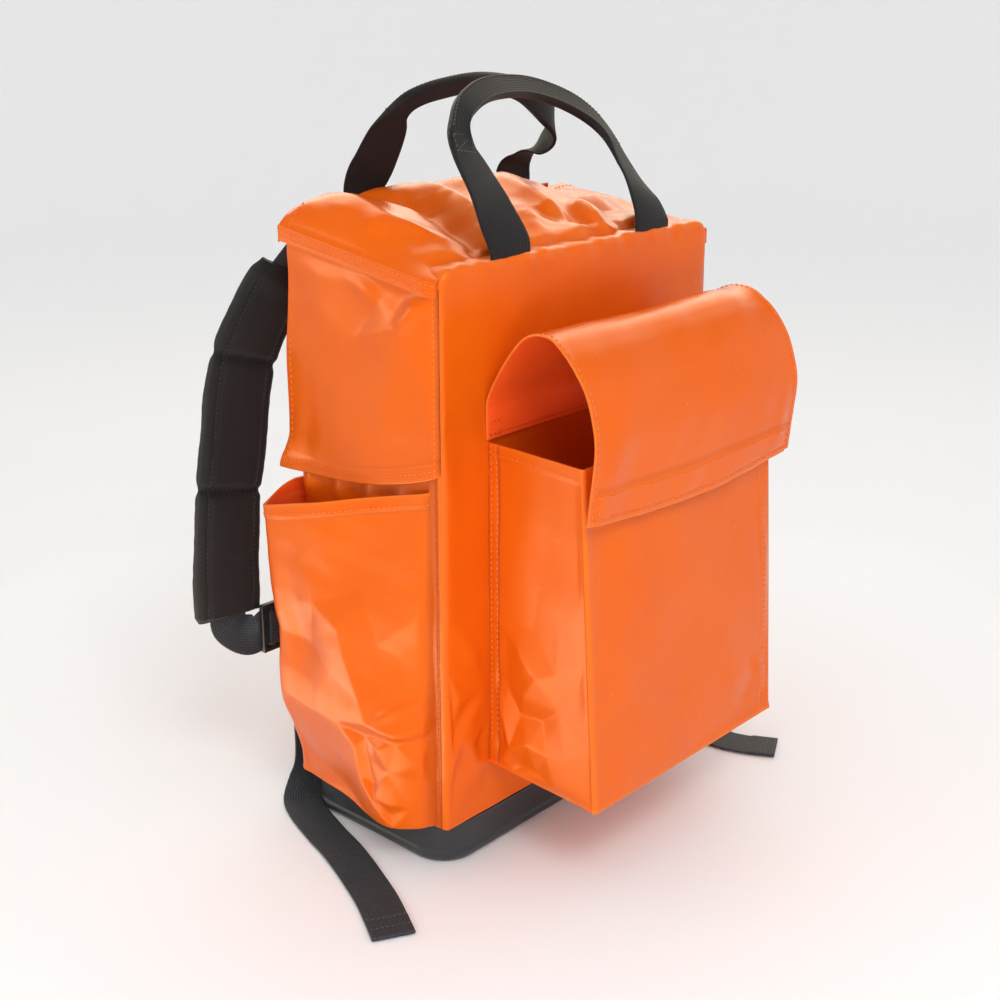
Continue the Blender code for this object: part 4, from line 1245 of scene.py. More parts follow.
def side_pocket(name, side):
    """An open pocket: hemmed rim, a rounded back corner and hard creases where its foot is gathered."""
    cloth = bpy.context.scene.backpack_cloth
    start = FRONT_FACE + 9.0 + 2.3
    end = BACK - 2.9
    wall = SIDE + 0.3
    bulge = 39.0
    foot, rim_front, rim_back = TRAY_TOP + 2.6, 300.0, 268.0
    shares = np.linspace(1, 0, 170)
    stops, _ = pocket_outline(np.array([1.0]))
    rows = []
    for share in shares:
        out = pocket_outline(np.array([share]))[1][:, 0]
        plan = curve_through(np.column_stack([stops, out]), 12)
        run = np.concatenate([[0], np.cumsum(np.hypot(*(np.diff(plan, axis=0) * (end - start, bulge)).T))])
        even = np.linspace(0, run[-1], 165)
        along, off = np.interp(even, run, plan[:, 0]), np.interp(even, run, plan[:, 1])
        y = start + (end - start) * along
        rim = rim_front + (rim_back - rim_front) * np.minimum(along, 1.0)
        rim = rim + 12.0 * (1 - ease(off)) * (along > 0.85)
        out = wall + 2.0 + bulge * np.maximum(off, 0.0)
        tail = np.array([2.0, 5.0, 8.0])
        out = np.concatenate([out, out[-1] - tail])
        y = np.concatenate([y, y[-1] - 0.2 * tail])
        rim = np.concatenate([rim, np.full(3, rim[-1])])
        rows.append(np.stack([out, y, foot + share * (rim - foot)], -1))
    inner_front = rows[-1]
    for closing in (0.1, 0.3, 0.6, 0.95):
        x = wall + 2.0 + (inner_front[:, 0] - wall - 2.0) * (1 - closing)
        rows.append(np.stack([x, inner_front[:, 1], inner_front[:, 2] - 1.9 * closing**0.3], -1))
    points = np.array(rows)
    x, y, z = points[..., 0], points[..., 1], points[..., 2]
    rim = rim_front + (rim_back - rim_front) * np.clip((y - start) / (end - start), 0, 1)
    drop = rim - z
    points[..., 0] = side * x
    sheet = Sheet(points, (0, 0, 180))
    crumple = (
        (-72, 300, 0), (-20, 292, 0), (30, 284, 0), (80, 270, 0), (-72, 25, 0), (-20, 25, 0),
        (30, 25, 0), (80, 25, 0), (-55, 249, 0.5), (-44, 222, -1.2), (0, 240, 0.6), (40, 245, 1.2),
        (72, 240, 0), (-72, 200, 0), (-72, 245, 0), (25, 202, 3.0), (2, 187, 6.0), (-4, 164, 7.0),
        (-20, 132, 7.5), (-27, 117, 6.5), (-15, 94, 4.5), (-18, 71, 3.0), (-39, 49, 3.0),
        (-50, 38, 1.0), (55, 191, 1.0), (34, 164, -1.5), (14, 150, 3.0), (60, 116, 4.0), (30, 112, 5.0),
        (4, 110, 6.0), (52, 58, -3.5), (11, 46, -4.0), (15, 80, 0.5), (76, 100, 2.0), (78, 52, -2.0),
        (78, 170, 0), (-30, 178, 0.5), (-48, 173, -1.5), (-60, 205, 0.5), (-14, 216, 0.5),
        (-40, 140, 1.0), (-22, 106, -1.0), (-33, 107, -1.5), (-58, 139, -1.0), (-50, 114, 4.5),
        (-68, 120, 4.0), (-50, 108, 0.0), (-68, 112, 0.0), (-38, 101, 3.0), (-63, 94, 4.5),
        (-67, 75, 1.5), (-46, 82, -1.8), (-24, 88, -2.5), (-28, 68, -3.0), (-36, 60, 2.8),
        (-46, 48, -2.0), (-60, 56, 1.0), (-67, 45, 0),
    )
    creases = (
        (62, 240, 58, 130, 9, 1.2, 0.2),
        (48, 232, 40, 120, 12, -1.2, 0.1),
        (30, 240, 6, 214, 14, -1.2, 0.2),
        (-36, 124, -62, 140, 4, 1.8, 0.8),
        (-22, 108, -32, 76, 4, 1.6, 0.8),
    )
    seam = ease((y - start) / 5) * ease(np.abs(x - wall - 2.0) / 3)
    free = seam * ease(drop / 10) * ease((z - foot + 3) / 8)
    wave = ripples(sheet.points, 85, 0.9, 51 + side) + ripples(sheet.points, 30, 0.2, 53)
    crushed = facets(y, z, crumple) * cloth.creasing
    push = (crushed + folds(y, z, creases) * cloth.creasing + wave) * free
    push += 0.6 * ease((11.0 - drop) / 1.2) * seam
    sheet.push(push)
    # Paler along the rim, partly rubbed wear and partly painted highlight; painted shade in a line under the
    # hem and down the front seam
    wear_and_painted_light = 0.65 * bump(drop, 0.0, 1.6) - 0.35 * bump(drop, 11.6, 0.7) - 0.5 * bump(y - start, 0.0, 2.5)
    obj = sew(name, sheet, cloth.ply, shell_cloth(), lining_cloth(), wear_and_painted_light)
    dress(obj, name.replace("_cloth", ""))
    rows = [sheet.line((8.0, 2.0), (8.0, -4.0), lift=0.3)]
    seams = stitch(name.replace("_cloth", "_stitches"), rows)


# Front pocket and cover


GUSSET_STEPS = 80


def front_pocket():
    """The box pocket: two gussets, the face and the bottom, with a crisp sewn edge at each corner."""
    cloth = bpy.context.scene.backpack_cloth
    back = FRONT_FACE - 0.5
    half, taper = 113.0, 6.0
    foot, top = 76.0, 329.0
    depth_foot, depth_top = 108.0, 91.0
    corner = 3.2
    # A welt beside the right edge of the face
    welt = 13.5
    gusset = np.linspace(0, 1, GUSSET_STEPS)
    turn = np.linspace(0, math.pi / 2, 9)[1:-1]
    levels = np.linspace(1, 0, 160)
    rows = []
    for level in levels:
        z = foot + (top - foot) * level
        depth = depth_foot + (depth_top - depth_foot) * level
        front = back - depth
        left = [(-half + taper * (1 - s), back - (depth - corner) * s) for s in gusset]
        arc = [(-half + corner - corner * math.cos(t), front + corner - corner * math.sin(t)) for t in turn]
        face = [(x, front) for x in np.linspace(-half + corner, half - corner, 104)]
        path = left + arc + face + [(-x, y) for x, y in arc[::-1]] + [(-x, y) for x, y in left[::-1]]
        rows.append([(x, y, z) for x, y in path])
    walls = np.array(rows)
    x, y, z = walls.transpose(2, 0, 1)
    columns = walls.shape[1]
    on_face = np.zeros(columns, bool)
    on_face[len(gusset) : columns - len(gusset)] = True
    on_face = np.broadcast_to(on_face, x.shape)
    sheet = Sheet(walls, (0, back - 50, 200))
    share = (z - foot) / (top - foot)
    inset = half - np.abs(x)
    bulge = 4.0 * np.sin(math.pi * share) * (1 - (x / half) ** 2) * on_face
    from_back = (back - y) / np.maximum(back - y.min(1, keepdims=True), 1)
    gusset_crumple = (
        (-82, 330, 0), (-184, 330, 0), (-90, 240, 0), (-130, 240, -0.8), (-172, 230, 0),
        (-100, 190, 0.8), (-125, 198, -1.2), (-150, 200, 0.4), (-176, 190, 0), (-99, 146, -1.4),
        (-118, 144, 2.6), (-132, 162, 4.0), (-150, 171, 1.4), (-165, 157, -1.4), (-150, 141, -2.0),
        (-134, 129, -3.0), (-112, 126, -2.2), (-95, 122, 2.0), (-124, 107, 3.4), (-141, 104, 0),
        (-160, 110, 1.0), (-180, 120, 0), (-94, 101, -2.4), (-104, 96, 3.2), (-113, 85, -1.8),
        (-97, 87, 3.0), (-88, 93, -1.4), (-84, 76, 0), (-104, 76, 0), (-130, 86, -1.4), (-150, 82, 1.4),
        (-182, 76, 0), (-84, 150, 0), (-84, 200, 0),
    )
    gusset_creases = ((-140, 280, -136, 220, 16, -1.2, 0.1), (-112, 188, -120, 160, 10, 1.0, 0.3))
    face_creases = (
        (-88, 168, -20, 96, 20, 1.6, 0.1),
        (-60, 150, 20, 110, 22, -1.8, 0.0),
        (40, 130, 96, 112, 14, 1.6, 0.2),
        (92, 128, 100, 104, 7, 2.2, 0.5),
        (84, 110, 70, 92, 9, -1.4, 0.3),
        (-96, 300, -92, 180, 14, -1.0, 0.0),
        (-30, 240, 40, 200, 40, 1.4, 0.0),
        (-92, 110, -70, 84, 10, 1.4, 0.3),
    )
    gusset_free = ease(from_back / 0.12) * ease((0.97 - from_back) / 0.08) * (~on_face)
    face_free = ease(inset / 10) * on_face
    gusset_push = folds(y, z, gusset_creases) + facets(y, z, gusset_crumple, 1)
    push = bulge + gusset_push * gusset_free * cloth.creasing * ease((z - foot) / 8)
    strip = bump(back - y, 9.5, 1.0) * (~on_face)
    push -= 0.9 * strip
    push += folds(x, z, face_creases) * face_free * cloth.creasing * ease((z - foot) / 10)
    wave = ripples(sheet.points, 100, 1.0, 61) + ripples(sheet.points, 34, 0.25, 62)
    push += wave * np.where(on_face, face_free, gusset_free) * ease((z - foot) / 10)
    push += 1.1 * bump(inset, welt, 1.8) * on_face * (x > 0) * ease(share / 0.05) * 0.6
    push += 0.7 * ease((11 - (top - z)) / 1.2) * (~on_face) * (from_back > 0.02)
    seam_edge = bump(inset, 0.6, 2.2) * on_face
    push += 0.9 * seam_edge + 0.9 * bump(z, foot, 4.0) * on_face
    sheet.push(push)
    bottom = []
    edge_row = sheet.points[-1]
    even = np.linspace(-half + taper + 3, half - taper - 3, columns)
    for closing in (0.03, 0.1, 0.3, 0.6, 1.0):
        flat_x = edge_row[:, 0] + (even - edge_row[:, 0]) * closing
        flat_y = edge_row[:, 1] + (back - edge_row[:, 1]) * closing
        lift = 1.2 * ease(closing / 0.1)
        bottom.append(np.stack([flat_x, flat_y, np.full(columns, foot + lift)], -1))
    sheet.points = np.concatenate([sheet.points, np.array(bottom)])
    # Paler along the face's sewn edges, its foot, the rim and the welt, partly rubbed wear and partly
    # painted highlight; painted shade in the back strip's groove and along the back edge
    walls_wear_and_light = 0.5 * seam_edge + 0.6 * bump(z, foot, 2.5) + 0.5 * bump(top - z, 0.0, 1.5)
    walls_wear_and_light += 0.25 * bump(inset, welt, 1.2) * on_face * (x > 0)
    walls_wear_and_light -= 0.7 * strip + 0.5 * bump(back - y, 0.0, 1.5) * (~on_face)
    wear_and_painted_light = np.concatenate([walls_wear_and_light, np.zeros((5, columns))])
    obj = sew("front_pocket_cloth", sheet, cloth.ply, shell_cloth(), lining_cloth(), wear_and_painted_light)
    dress(obj, "front_pocket")
    tall = top - foot
    rows = []
    for sign in (1, -1):
        rows.append(sheet.line((7.5, sign * 2.0), (7.5, sign * 92.0)))
        rows.append(sheet.line((9.0, sign * 9.0), (tall - 30, sign * 9.0)))
        rows.append(sheet.line((2.0, sign * 3.2), (tall - 20, sign * 3.2)))
    beside_welt = sheet.across[-1] - sheet.across[columns - 1 - GUSSET_STEPS] + welt
    rows.append(sheet.line((2.0, -beside_welt), (tall - 6, -beside_welt)))
    seams = stitch("front_pocket_stitches", rows)


# Reach, rise and flare of the cover's arch from its seam to its hem, as shares
COVER_PROFILE = (
    (0.000, 0.31, 0.00),
    (0.005, 0.53, 0.12),
    (0.120, 0.71, 0.30),
    (0.300, 0.91, 0.45),
    (0.430, 0.99, 0.55),
    (0.590, 1.00, 0.65),
    (0.710, 0.94, 0.72),
    (0.810, 0.86, 0.80),
    (0.910, 0.74, 0.86),
    (0.970, 0.60, 0.90),
    (1.000, 0.46, 0.94),
    (0.990, 0.30, 0.97),
    (0.970, 0.14, 0.99),
    (0.960, 0.00, 1.00),
)


def pocket_cover():
    """One sheet from its seam on the front panel, over an arch, to a doubled band along its hem."""
    cloth = bpy.context.scene.backpack_cloth
    seam = FRONT_FACE - 1.3
    deep, tall, foot = 107.0, 120.0, 294.0
    profile = np.maximum(curve_through(COVER_PROFILE, 10), 0.0)
    steps = np.hypot(np.diff(profile[:, 0]) * deep, np.diff(profile[:, 1]) * tall)
    run = np.concatenate([[0], np.cumsum(steps)])
    even = np.linspace(0, run[-1], 140)
    reach, rise, flare = (np.interp(even, run, values)[:, None] for values in profile.T)
    u = np.linspace(-1, 1, 130)[None, :]
    half = 110.0 + 13.0 * flare
    outer = reach > 0.5
    sag = 8.0 * ease(1 - rise / 0.5) * outer
    x = half * u
    y = seam - deep * reach + 0 * u
    z = foot + tall * rise - sag * (1 - u * u)
    sheet = Sheet(np.stack([x, y, z], -1), (0, seam - 50, 340))
    hem = run[-1] - even[:, None] + 0 * u
    inset = half - np.abs(x)
    band = ease((24.0 - hem) / 1.0) * ease((inset - 6.0) / 0.8)
    top_free = ease(even[:, None] / 22) * ease(hem / 12)
    push = ripples(sheet.points, 150, 1.2, 71) * top_free + ripples(sheet.points, 42, 0.2, 72) * top_free
    edge_turn = 0.6 * bump(inset, 0.0, 5.0)
    creases = (
        (-104, 262, -96, 190, 15, 1.6, 0.0),
        (100, 60, 104, 130, 12, -1.4, 0.1),
        (60, 200, 112, 240, 16, 1.6, 0.1),
        (-60, 210, -100, 250, 18, -1.2, 0.0),
        (-10, 120, 60, 150, 40, 1.2, 0.0),
        (108, 200, 100, 250, 10, 1.2, 0.2),
    )
    push = push + folds(x, even[:, None] + 0 * u, creases) * cloth.creasing * top_free
    push = push + 1.4 * band + edge_turn
    push = push + ripples(np.stack([x, 0 * x, 0 * x], -1), 55, 0.7, 73) * ease((26 - hem) / 26)
    sheet.push(push)
    # Paler along the side edges and the hem, partly rubbed wear and partly painted highlight; a line of
    # painted shadow along the top of the doubled band
    wear_and_painted_light = 0.7 * bump(inset, 0.0, 1.6) + 0.6 * bump(hem, 0.0, 1.8)
    wear_and_painted_light -= 0.45 * bump(hem, 24.9, 0.9) * (inset > 6)
    obj = sew("pocket_cover_cloth", sheet, cloth.ply, shell_cloth(), lining_cloth(), wear_and_painted_light)
    dress(obj, "front_pocket_flap")
    rows = [
        sheet.line((4.0, 3.4), (-3.0, 3.4)),
        sheet.line((4.0, -3.4), (-3.0, -3.4)),
        sheet.line((-4.0, 3.0), (-4.0, -3.0)),
        sheet.line((-5.6, 14.0), (-5.6, -14.0)),
        sheet.line((-22.0, 6.4), (-22.0, -6.4)),
        sheet.line((-22.0, 8.4), (-4.0, 8.4)),
        sheet.line((-22.0, -8.4), (-4.0, -8.4)),
    ]
    inside = [sheet.line((4.0, 3.0), (4.0, -3.0), lift=-cloth.ply - 0.3)]
    for sign in (1, -1):
        corners = [(3.0, 4.0), (3.0, 15.0), (13.0, 15.0), (13.0, 4.0), (3.0, 4.0)]
        inside.append(sheet.line(*[(d, sign * a) for d, a in corners], lift=-cloth.ply - 0.3))
    seams = stitch("pocket_cover_stitches", rows)
    hidden = stitch("pocket_cover_seam_stitches", inside, deep_thread())


# Handles


# Spread, lean and rise of a handle, its width and fold, and the direction it faces
FRONT_HANDLE = (
    (-0.97, 0.00, -0.06, 1.00, 0.0, 0.0, -1.0, 0.0),
    (-0.97, 0.00, 0.05, 1.00, 0.0, 0.0, -1.0, 0.0),
    (-1.04, 0.13, 0.25, 1.00, 0.0, 0.1, -1.0, 0.2),
    (-1.15, 0.23, 0.46, 1.00, 0.0, 0.3, -1.0, 0.3),
    (-1.25, 0.36, 0.66, 0.70, 0.3, 0.2, -1.0, 0.4),
    (-1.18, 0.52, 0.81, 0.37, 1.0, -0.1, -1.0, 0.5),
    (-0.96, 0.67, 0.93, 0.42, 1.0, -0.2, -0.9, 0.6),
    (-0.54, 0.85, 1.00, 0.43, 1.0, 0.0, -0.8, 0.7),
    (0.10, 1.00, 0.98, 0.43, 1.0, 0.1, -0.8, 0.7),
    (0.68, 0.97, 0.85, 0.45, 1.0, 0.3, -0.8, 0.6),
    (0.98, 0.80, 0.67, 0.50, 0.8, 0.5, -0.9, 0.5),
    (1.06, 0.50, 0.42, 0.82, 0.1, 0.4, -1.0, 0.3),
    (1.04, 0.16, 0.21, 0.92, 0.0, 0.1, -1.0, 0.2),
    (1.02, 0.00, 0.05, 1.00, 0.0, 0.0, -1.0, 0.0),
    (1.02, 0.00, -0.06, 1.00, 0.0, 0.0, -1.0, 0.0),
)
BACK_HANDLE = (
    (-0.90, 0.00, 0.04, 1.00, 0.0, 0.0, 1.0, 0.0),
    (-0.90, 0.00, 0.30, 1.00, 0.0, 0.0, 1.0, 0.0),
    (-0.82, 0.10, 0.48, 1.00, 0.0, 0.1, 1.0, 0.2),
    (-0.77, 0.28, 0.69, 0.80, 0.1, 0.2, 1.0, 0.3),
    (-0.74, 0.42, 0.82, 0.44, 0.8, 0.2, 1.0, 0.4),
    (-0.64, 0.56, 0.91, 0.36, 1.0, 0.1, 1.0, 0.5),
    (-0.38, 0.69, 0.97, 0.38, 1.0, 0.0, 0.9, 0.6),
    (0.06, 0.79, 1.00, 0.38, 1.0, 0.0, 0.9, 0.7),
    (0.60, 0.79, 0.93, 0.42, 1.0, -0.2, 0.9, 0.6),
    (1.05, 0.72, 0.75, 0.50, 0.8, -0.6, 0.8, 0.3),
    (1.25, 0.60, 0.60, 0.56, 0.2, -0.9, 0.5, 0.1),
    (1.28, 0.36, 0.49, 0.66, 0.0, -0.7, 0.7, 0.2),
    (1.20, 0.14, 0.40, 0.80, 0.0, -0.2, 0.9, 0.3),
    (1.16, 0.00, 0.29, 1.00, 0.0, 0.0, 1.0, 0.0),
    (1.16, 0.00, 0.04, 1.00, 0.0, 0.0, 1.0, 0.0),
)


def handle(name, table, base_y, side, node):
    """Webbing up from its seam, folded in two over the grip and sewn along the fold."""
    ply = bpy.context.scene.backpack_webbing.ply
    width, grip_ply = 41.0, 7.0
    half_span, inwards, tall = 82.0, 60.0, 107.0
    rows = curve_through(table, 9)
    spread, lean, rise = rows[:, :3].T
    y = base_y - side * inwards * np.maximum(lean, 0)
    centres = np.stack([half_span * spread, y, HEIGHT + tall * rise], -1)
    folded = np.clip(rows[:, 4], 0, 1)
    widths = width * rows[:, 3]
    plies = ply + (grip_ply - ply) * folded
    curl = 1.2 * np.sin(np.linspace(0, 9, len(rows))) * (1 - folded)
    section = band_section(13, 0.10)
    obj = sweep(name, centres, rows[:, 5:8], widths, plies, [black_webbing()], section, cup=curl)
    dress(obj, node)
    along, facing, across = path_axes(centres, rows[:, 5:8])
    grip = folded > 0.85
    lines = []
    for edge in (-0.42, 0.42):
        line = centres + across * (widths * edge)[:, None] + facing * (plies / 2 + 0.2)[:, None]
        lines.append(line[grip])
    spots = np.flatnonzero(np.abs(np.diff((folded > 0.5).astype(int))))
    for spot in spots:
        up = facing[spot] * (plies[spot] / 2 + 0.3)
        lines.append(box_seam(centres[spot], across[spot], along[spot], up, 0.36 * widths[spot], 6.0))
    seams = webbing_stitch(name + "_stitches", lines)


# Shoulder straps


# Place across, behind and up as shares of the bag's size, and the direction that the strap faces
STRAP_TOP = (
    (0.66, 0.012, 1.012, 0.0, -1.0, 0.0),
    (0.72, 0.016, 0.998, 0.0, -1.0, 0.0),
    (0.81, 0.040, 0.976, -0.1, -1.0, -0.2),
)
STRAP_PAD = (
    (0.88, 0.085, 0.945, -0.2, -1.0, -0.4),
    (0.94, 0.140, 0.905, -0.2, -1.0, -0.3),
    (1.00, 0.185, 0.860, -0.1, -1.0, -0.2),
    (1.07, 0.220, 0.800, -0.1, -1.0, 0.0),
    (1.12, 0.228, 0.740, -0.1, -1.0, 0.0),
    (1.15, 0.225, 0.680, -0.1, -1.0, 0.0),
    (1.18, 0.220, 0.632, -0.1, -1.0, 0.0),
    (1.22, 0.212, 0.582, -0.1, -1.0, 0.0),
    (1.25, 0.204, 0.516, -0.1, -1.0, 0.0),
    (1.275, 0.193, 0.455, -0.1, -1.0, 0.0),
    (1.295, 0.183, 0.388, -0.1, -1.0, 0.0),
)
STRAP_LOOP = (
    (1.300, 0.180, 0.368, -0.1, -1.0, 0.0),
    (1.298, 0.168, 0.350, -0.1, -1.0, 0.3),
    (1.260, 0.135, 0.334, 0.1, -1.0, 0.5),
    (1.180, 0.097, 0.332, 0.1, -1.0, 0.1),
    (1.110, 0.085, 0.342, 0.0, -1.0, 0.0),
    (1.030, 0.083, 0.336, 0.0, -1.0, 0.0),
    (0.955, 0.078, 0.303, 0.0, -1.0, 0.0),
    (0.905, 0.066, 0.235, 0.0, -1.0, 0.0),
    (0.900, 0.052, 0.145, 0.0, -1.0, 0.0),
    (0.918, 0.036, 0.070, 0.0, -1.0, 0.1),
    (0.958, 0.022, 0.022, -0.3, -0.8, 0.6),
    (1.045, -0.040, 0.0045, -0.08, -0.2, 1.0),
)
TAIL_ENDS = {
    "left": (
        (1.118, -0.180, 0.0, 0.0, 0.0, 1.0),
        (1.185, -0.370, 0.0, 0.0, 0.0, 1.0),
        (1.260, -0.605, 0.0, 0.0, 0.0, 1.0),
        (1.410, -0.963, 0.0, 0.0, 0.0, 1.0),
        (1.576, -1.260, 0.0, 0.0, 0.0, 1.0),
    ),
    "right": (
        (1.125, -0.180, 0.0, 0.0, 0.0, 1.0),
        (1.150, -0.554, 0.0, 0.0, 0.0, 1.0),
        (1.125, -0.876, 0.0, 0.0, 0.0, 1.0),
        (1.060, -1.225, 0.0, 0.0, 0.0, 1.0),
        (1.086, -1.410, 0.0, 0.0, 0.0, 1.0),
        (1.172, -1.586, 0.0, 0.0, 0.0, 1.0),
    ),
}
STRAP_STEPS = 8
PAD_START = len(STRAP_TOP) * STRAP_STEPS
PAD_END = PAD_START + len(STRAP_PAD) * STRAP_STEPS
STRAP_WIDTH, STRAP_PLY, TAB_WIDTH = 32.0, 1.6, 28.0
PAD_WIDTH, PAD_PLY, PINCHED_PLY = 56.0, 15.0, 5.5
# Sewn channels across a pad, as shares of its length, and along it, as a share of its half width
CHANNELS = (0.27, 0.63)
SIDE_SEAM = 0.74
# Powers that make a pad's section full: its sides and its faces
SIDE_POWER, FACE_POWER = 0.42, 0.62
# Rings of corners that make up an anchor's solid in the frame
ANCHOR_RINGS = 9


def strap_path(side, label):
    """Centres and facings of a whole strap, from the back panel's top to its free end."""
    rows = curve_through(STRAP_TOP + STRAP_PAD + STRAP_LOOP + TAIL_ENDS[label], STRAP_STEPS)
    centres = np.stack(
        [side * SIDE * rows[:, 0], BACK_FACE + DEPTH * rows[:, 1], np.maximum(HEIGHT * rows[:, 2], 1.9)], -1
    )
    return centres, rows[:, 3:6] * (-side, 1, 1)


def pad_groove(across):
    """What the groove along each stitched side line leaves of a pad's height."""
    return 1 - 0.22 * bump(np.abs(across), SIDE_SEAM, 0.06)


def pad_height(across):
    """Half height of a pad's section, as a share."""
    full = np.sqrt(np.clip(1 - np.abs(across) ** (2 / SIDE_POWER), 0, 1)) ** FACE_POWER
    return full * pad_groove(across)


def pad_section(count=72):
    """A pad's section: flat faces, full round sides."""
    turns = np.linspace(0, 2 * math.pi, count, endpoint=False)
    across = np.sign(np.cos(turns)) * np.abs(np.cos(turns)) ** SIDE_POWER
    through = np.sign(np.sin(turns)) * np.abs(np.sin(turns)) ** FACE_POWER
    return np.stack([across, through * pad_groove(across)], -1)


def shoulder_pad(side, label):
    """Foam under pack cloth, pinched flat at its sewn channels, with a bound side."""
    settings = bpy.context.scene.backpack_webbing
    centres, facing = strap_path(side, label)
    run = slice(PAD_START, PAD_END + 1)
    share = np.linspace(0, 1, PAD_END + 1 - PAD_START)
    fine = np.linspace(0, 1, 170)
    points = resampled(centres[run], share, fine)
    facing = resampled(facing[run], share, fine)
    pinch = sum(bump(fine, c, 0.012) for c in CHANNELS)
    ends = ease(np.minimum(fine, 1 - fine) / 0.045)
    plies = (PINCHED_PLY + (PAD_PLY - PINCHED_PLY) * (1 - pinch)) * (0.5 + 0.5 * ends)
    widths = (PAD_WIDTH - 1.5 * pinch) * (0.93 + 0.07 * ends)
    cloth = pad_cloth("polyester_pack_cloth", settings.pad)
    obj = sweep("shoulder_pad_cloth_" + label, points, facing, widths, plies, [cloth], pad_section())
    mesh = obj.data
    flat = np.array([v.co for v in mesh.vertices]) / MM
    shift = ripples(flat, 34, 0.5, 81 + side) + ripples(flat, 14, 0.15, 83)
    normals = np.array([v.normal for v in mesh.vertices])
    flat = flat + normals * shift[:, None]
    mesh.vertices.foreach_set("co", (flat * MM).astype(np.float32).ravel())
    mesh.update()
    dress(obj, "shoulder_pad_" + label)
    _, face, across = path_axes(points, facing)
    lines = []
    inner = slice(6, -6)
    for edge in (-1, 1):
        for way in (-1, 1):
            rise = way * (plies / 2 * pad_height(SIDE_SEAM) + 0.2)
            line = points + across * (edge * SIDE_SEAM / 2 * widths)[:, None] + face * rise[:, None]
            lines.append(line[inner])
    for c in CHANNELS:
        i = int(c * (len(fine) - 1))
        for way in (-1, 1):
            reach = np.linspace(-0.44, 0.44, 30)[:, None]
            rise = way * (plies[i] / 2 * pad_height(2 * reach) + 0.2)
            lines.append(points[i] + across[i] * reach * widths[i] + face[i] * rise)
    stitch("shoulder_pad_stitches_" + label, lines, pad_thread(), scale=0.85)


def strap_webbing(side, label):
    """The webbing above the pad, and the long end below it, folded back and sewn at its tip."""
    centres, facing = strap_path(side, label)
    webbing = ribbed_webbing()
    count = PAD_START + 2
    upper = sweep(
        "strap_top_webbing_" + label,
        centres[:count],
        facing[:count],
        [STRAP_WIDTH] * count,
        [STRAP_PLY] * count,
        [webbing],
        band_section(11, 0.08),
    )
    dress(upper, "strap_top_" + label)
    way = unit(centres[3] - centres[0])
    out = unit(facing[2] - (facing[2] @ way) * way)
    sewn = []
    for lift in (-1.1, 1.1):
        sewn.append(box_seam(centres[2], np.cross(way, out), way, out * lift, 12.0, 7.0))
    webbing_stitch("strap_top_stitches_" + label, sewn)
    tail = slice(PAD_END - 2, None)
    run = run_along(centres[tail])
    even = np.linspace(0, run[-1], 230)
    points = resampled(centres[tail], run, even)
    faces = resampled(facing[tail], run, even)
    left_over = run[-1] - even
    doubled = ease((24.0 - left_over) / 2.0)
    plies = STRAP_PLY + 1.5 * doubled
    points[:, 2] += 0.75 * doubled
    wave = 0.5 * np.sin(even / 23.0) * ease((even - 240) / 60) * (1 - doubled)
    points[:, 2] += np.abs(wave)
    widths = [STRAP_WIDTH] * len(even)
    section = band_section(15, 0.06)
    lower = sweep("strap_tail_webbing_" + label, points, faces, widths, plies, [webbing], section)
    dress(lower, "strap_tail_" + label)
    _, face, across = path_axes(points, faces)
    lines = []
    for back in (20.0, 9.0):
        i = int(np.argmin(np.abs(left_over - back)))
        reach = np.linspace(-13.5, 13.5, 16)[:, None]
        lines.append(points[i] + across[i] * reach + face[i] * (plies[i] / 2 + 0.25))
    seams = webbing_stitch("strap_tail_stitches_" + label, lines)


def strap_fittings(side, label):
    """The ladder lock, with rounded bars, and the tab of webbing that holds it to the back panel."""
    polymer = moulded_polymer("moulded_acetal_black", linear("#1C1C1E"))
    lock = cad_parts["ladder_lock_" + label]
    mesh = lock.data.copy()
    obj = new_object("ladder_lock_moulding_" + label, mesh)
    work = bmesh.new()
    work.from_mesh(mesh)
    bmesh.ops.remove_doubles(work, verts=work.verts, dist=0.00002)
    bmesh.ops.dissolve_limit(work, angle_limit=0.02, verts=work.verts, edges=work.edges)
    work.to_mesh(mesh)
    work.free()
    mesh.materials.clear()
    mesh.materials.append(polymer)
    round_edges(obj, 0.9, 3, 50)
    settle(obj, 35)
    dress(obj, "ladder_lock_" + label)
    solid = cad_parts["strap_anchor_" + label].data
    corners = np.unique(np.round([np.array(v.co) / MM for v in solid.vertices], 2), axis=0)
    path = curve_through(corners.reshape(ANCHOR_RINGS, -1, 3).mean(1), 3)
    count = len(path)
    tab = sweep(
        "strap_anchor_webbing_" + label,
        path,
        np.tile([0.0, -1.0, 0.0], (count, 1)),
        [TAB_WIDTH] * count,
        [STRAP_PLY] * count,
        [ribbed_webbing()],
        band_section(11, 0.08),
    )
    dress(tab, "strap_anchor_" + label)
    inner = path[np.argmin(np.abs(path[:, 0]))] + (side * 11.0, 1.1, 0.0)
    sewn = box_seam(inner, np.array([0.0, 0.0, 1.0]), np.array([1.0, 0.0, 0.0]), np.zeros(3), 10.0, 8.0)
    webbing_stitch("strap_anchor_stitches_" + label, [sewn])


# Stage


def plain_finish(name, rgb, rough):
    """Matte studio paper: a very slight mottle keeps it from looking flat."""
    made, tree, shader = new_material(name)
    if tree is None:
        return made
    place = shader_node(tree, "ShaderNodeTexCoord").outputs["Object"]
    mottle = shader_node(tree, "ShaderNodeTexNoise", {"Vector": place, "Scale": 3.0, "Detail": 2.0})
    base = shader_node(
        tree,
        "ShaderNodeMix",
        {0: mottle.outputs[0], 6: tint(rgb, 0.99), 7: tint(rgb, 1.0)},
        data_type="RGBA",
    )
    set_inputs(tree, shader, {"Base Color": base.outputs[2], "Roughness": rough})
    return made


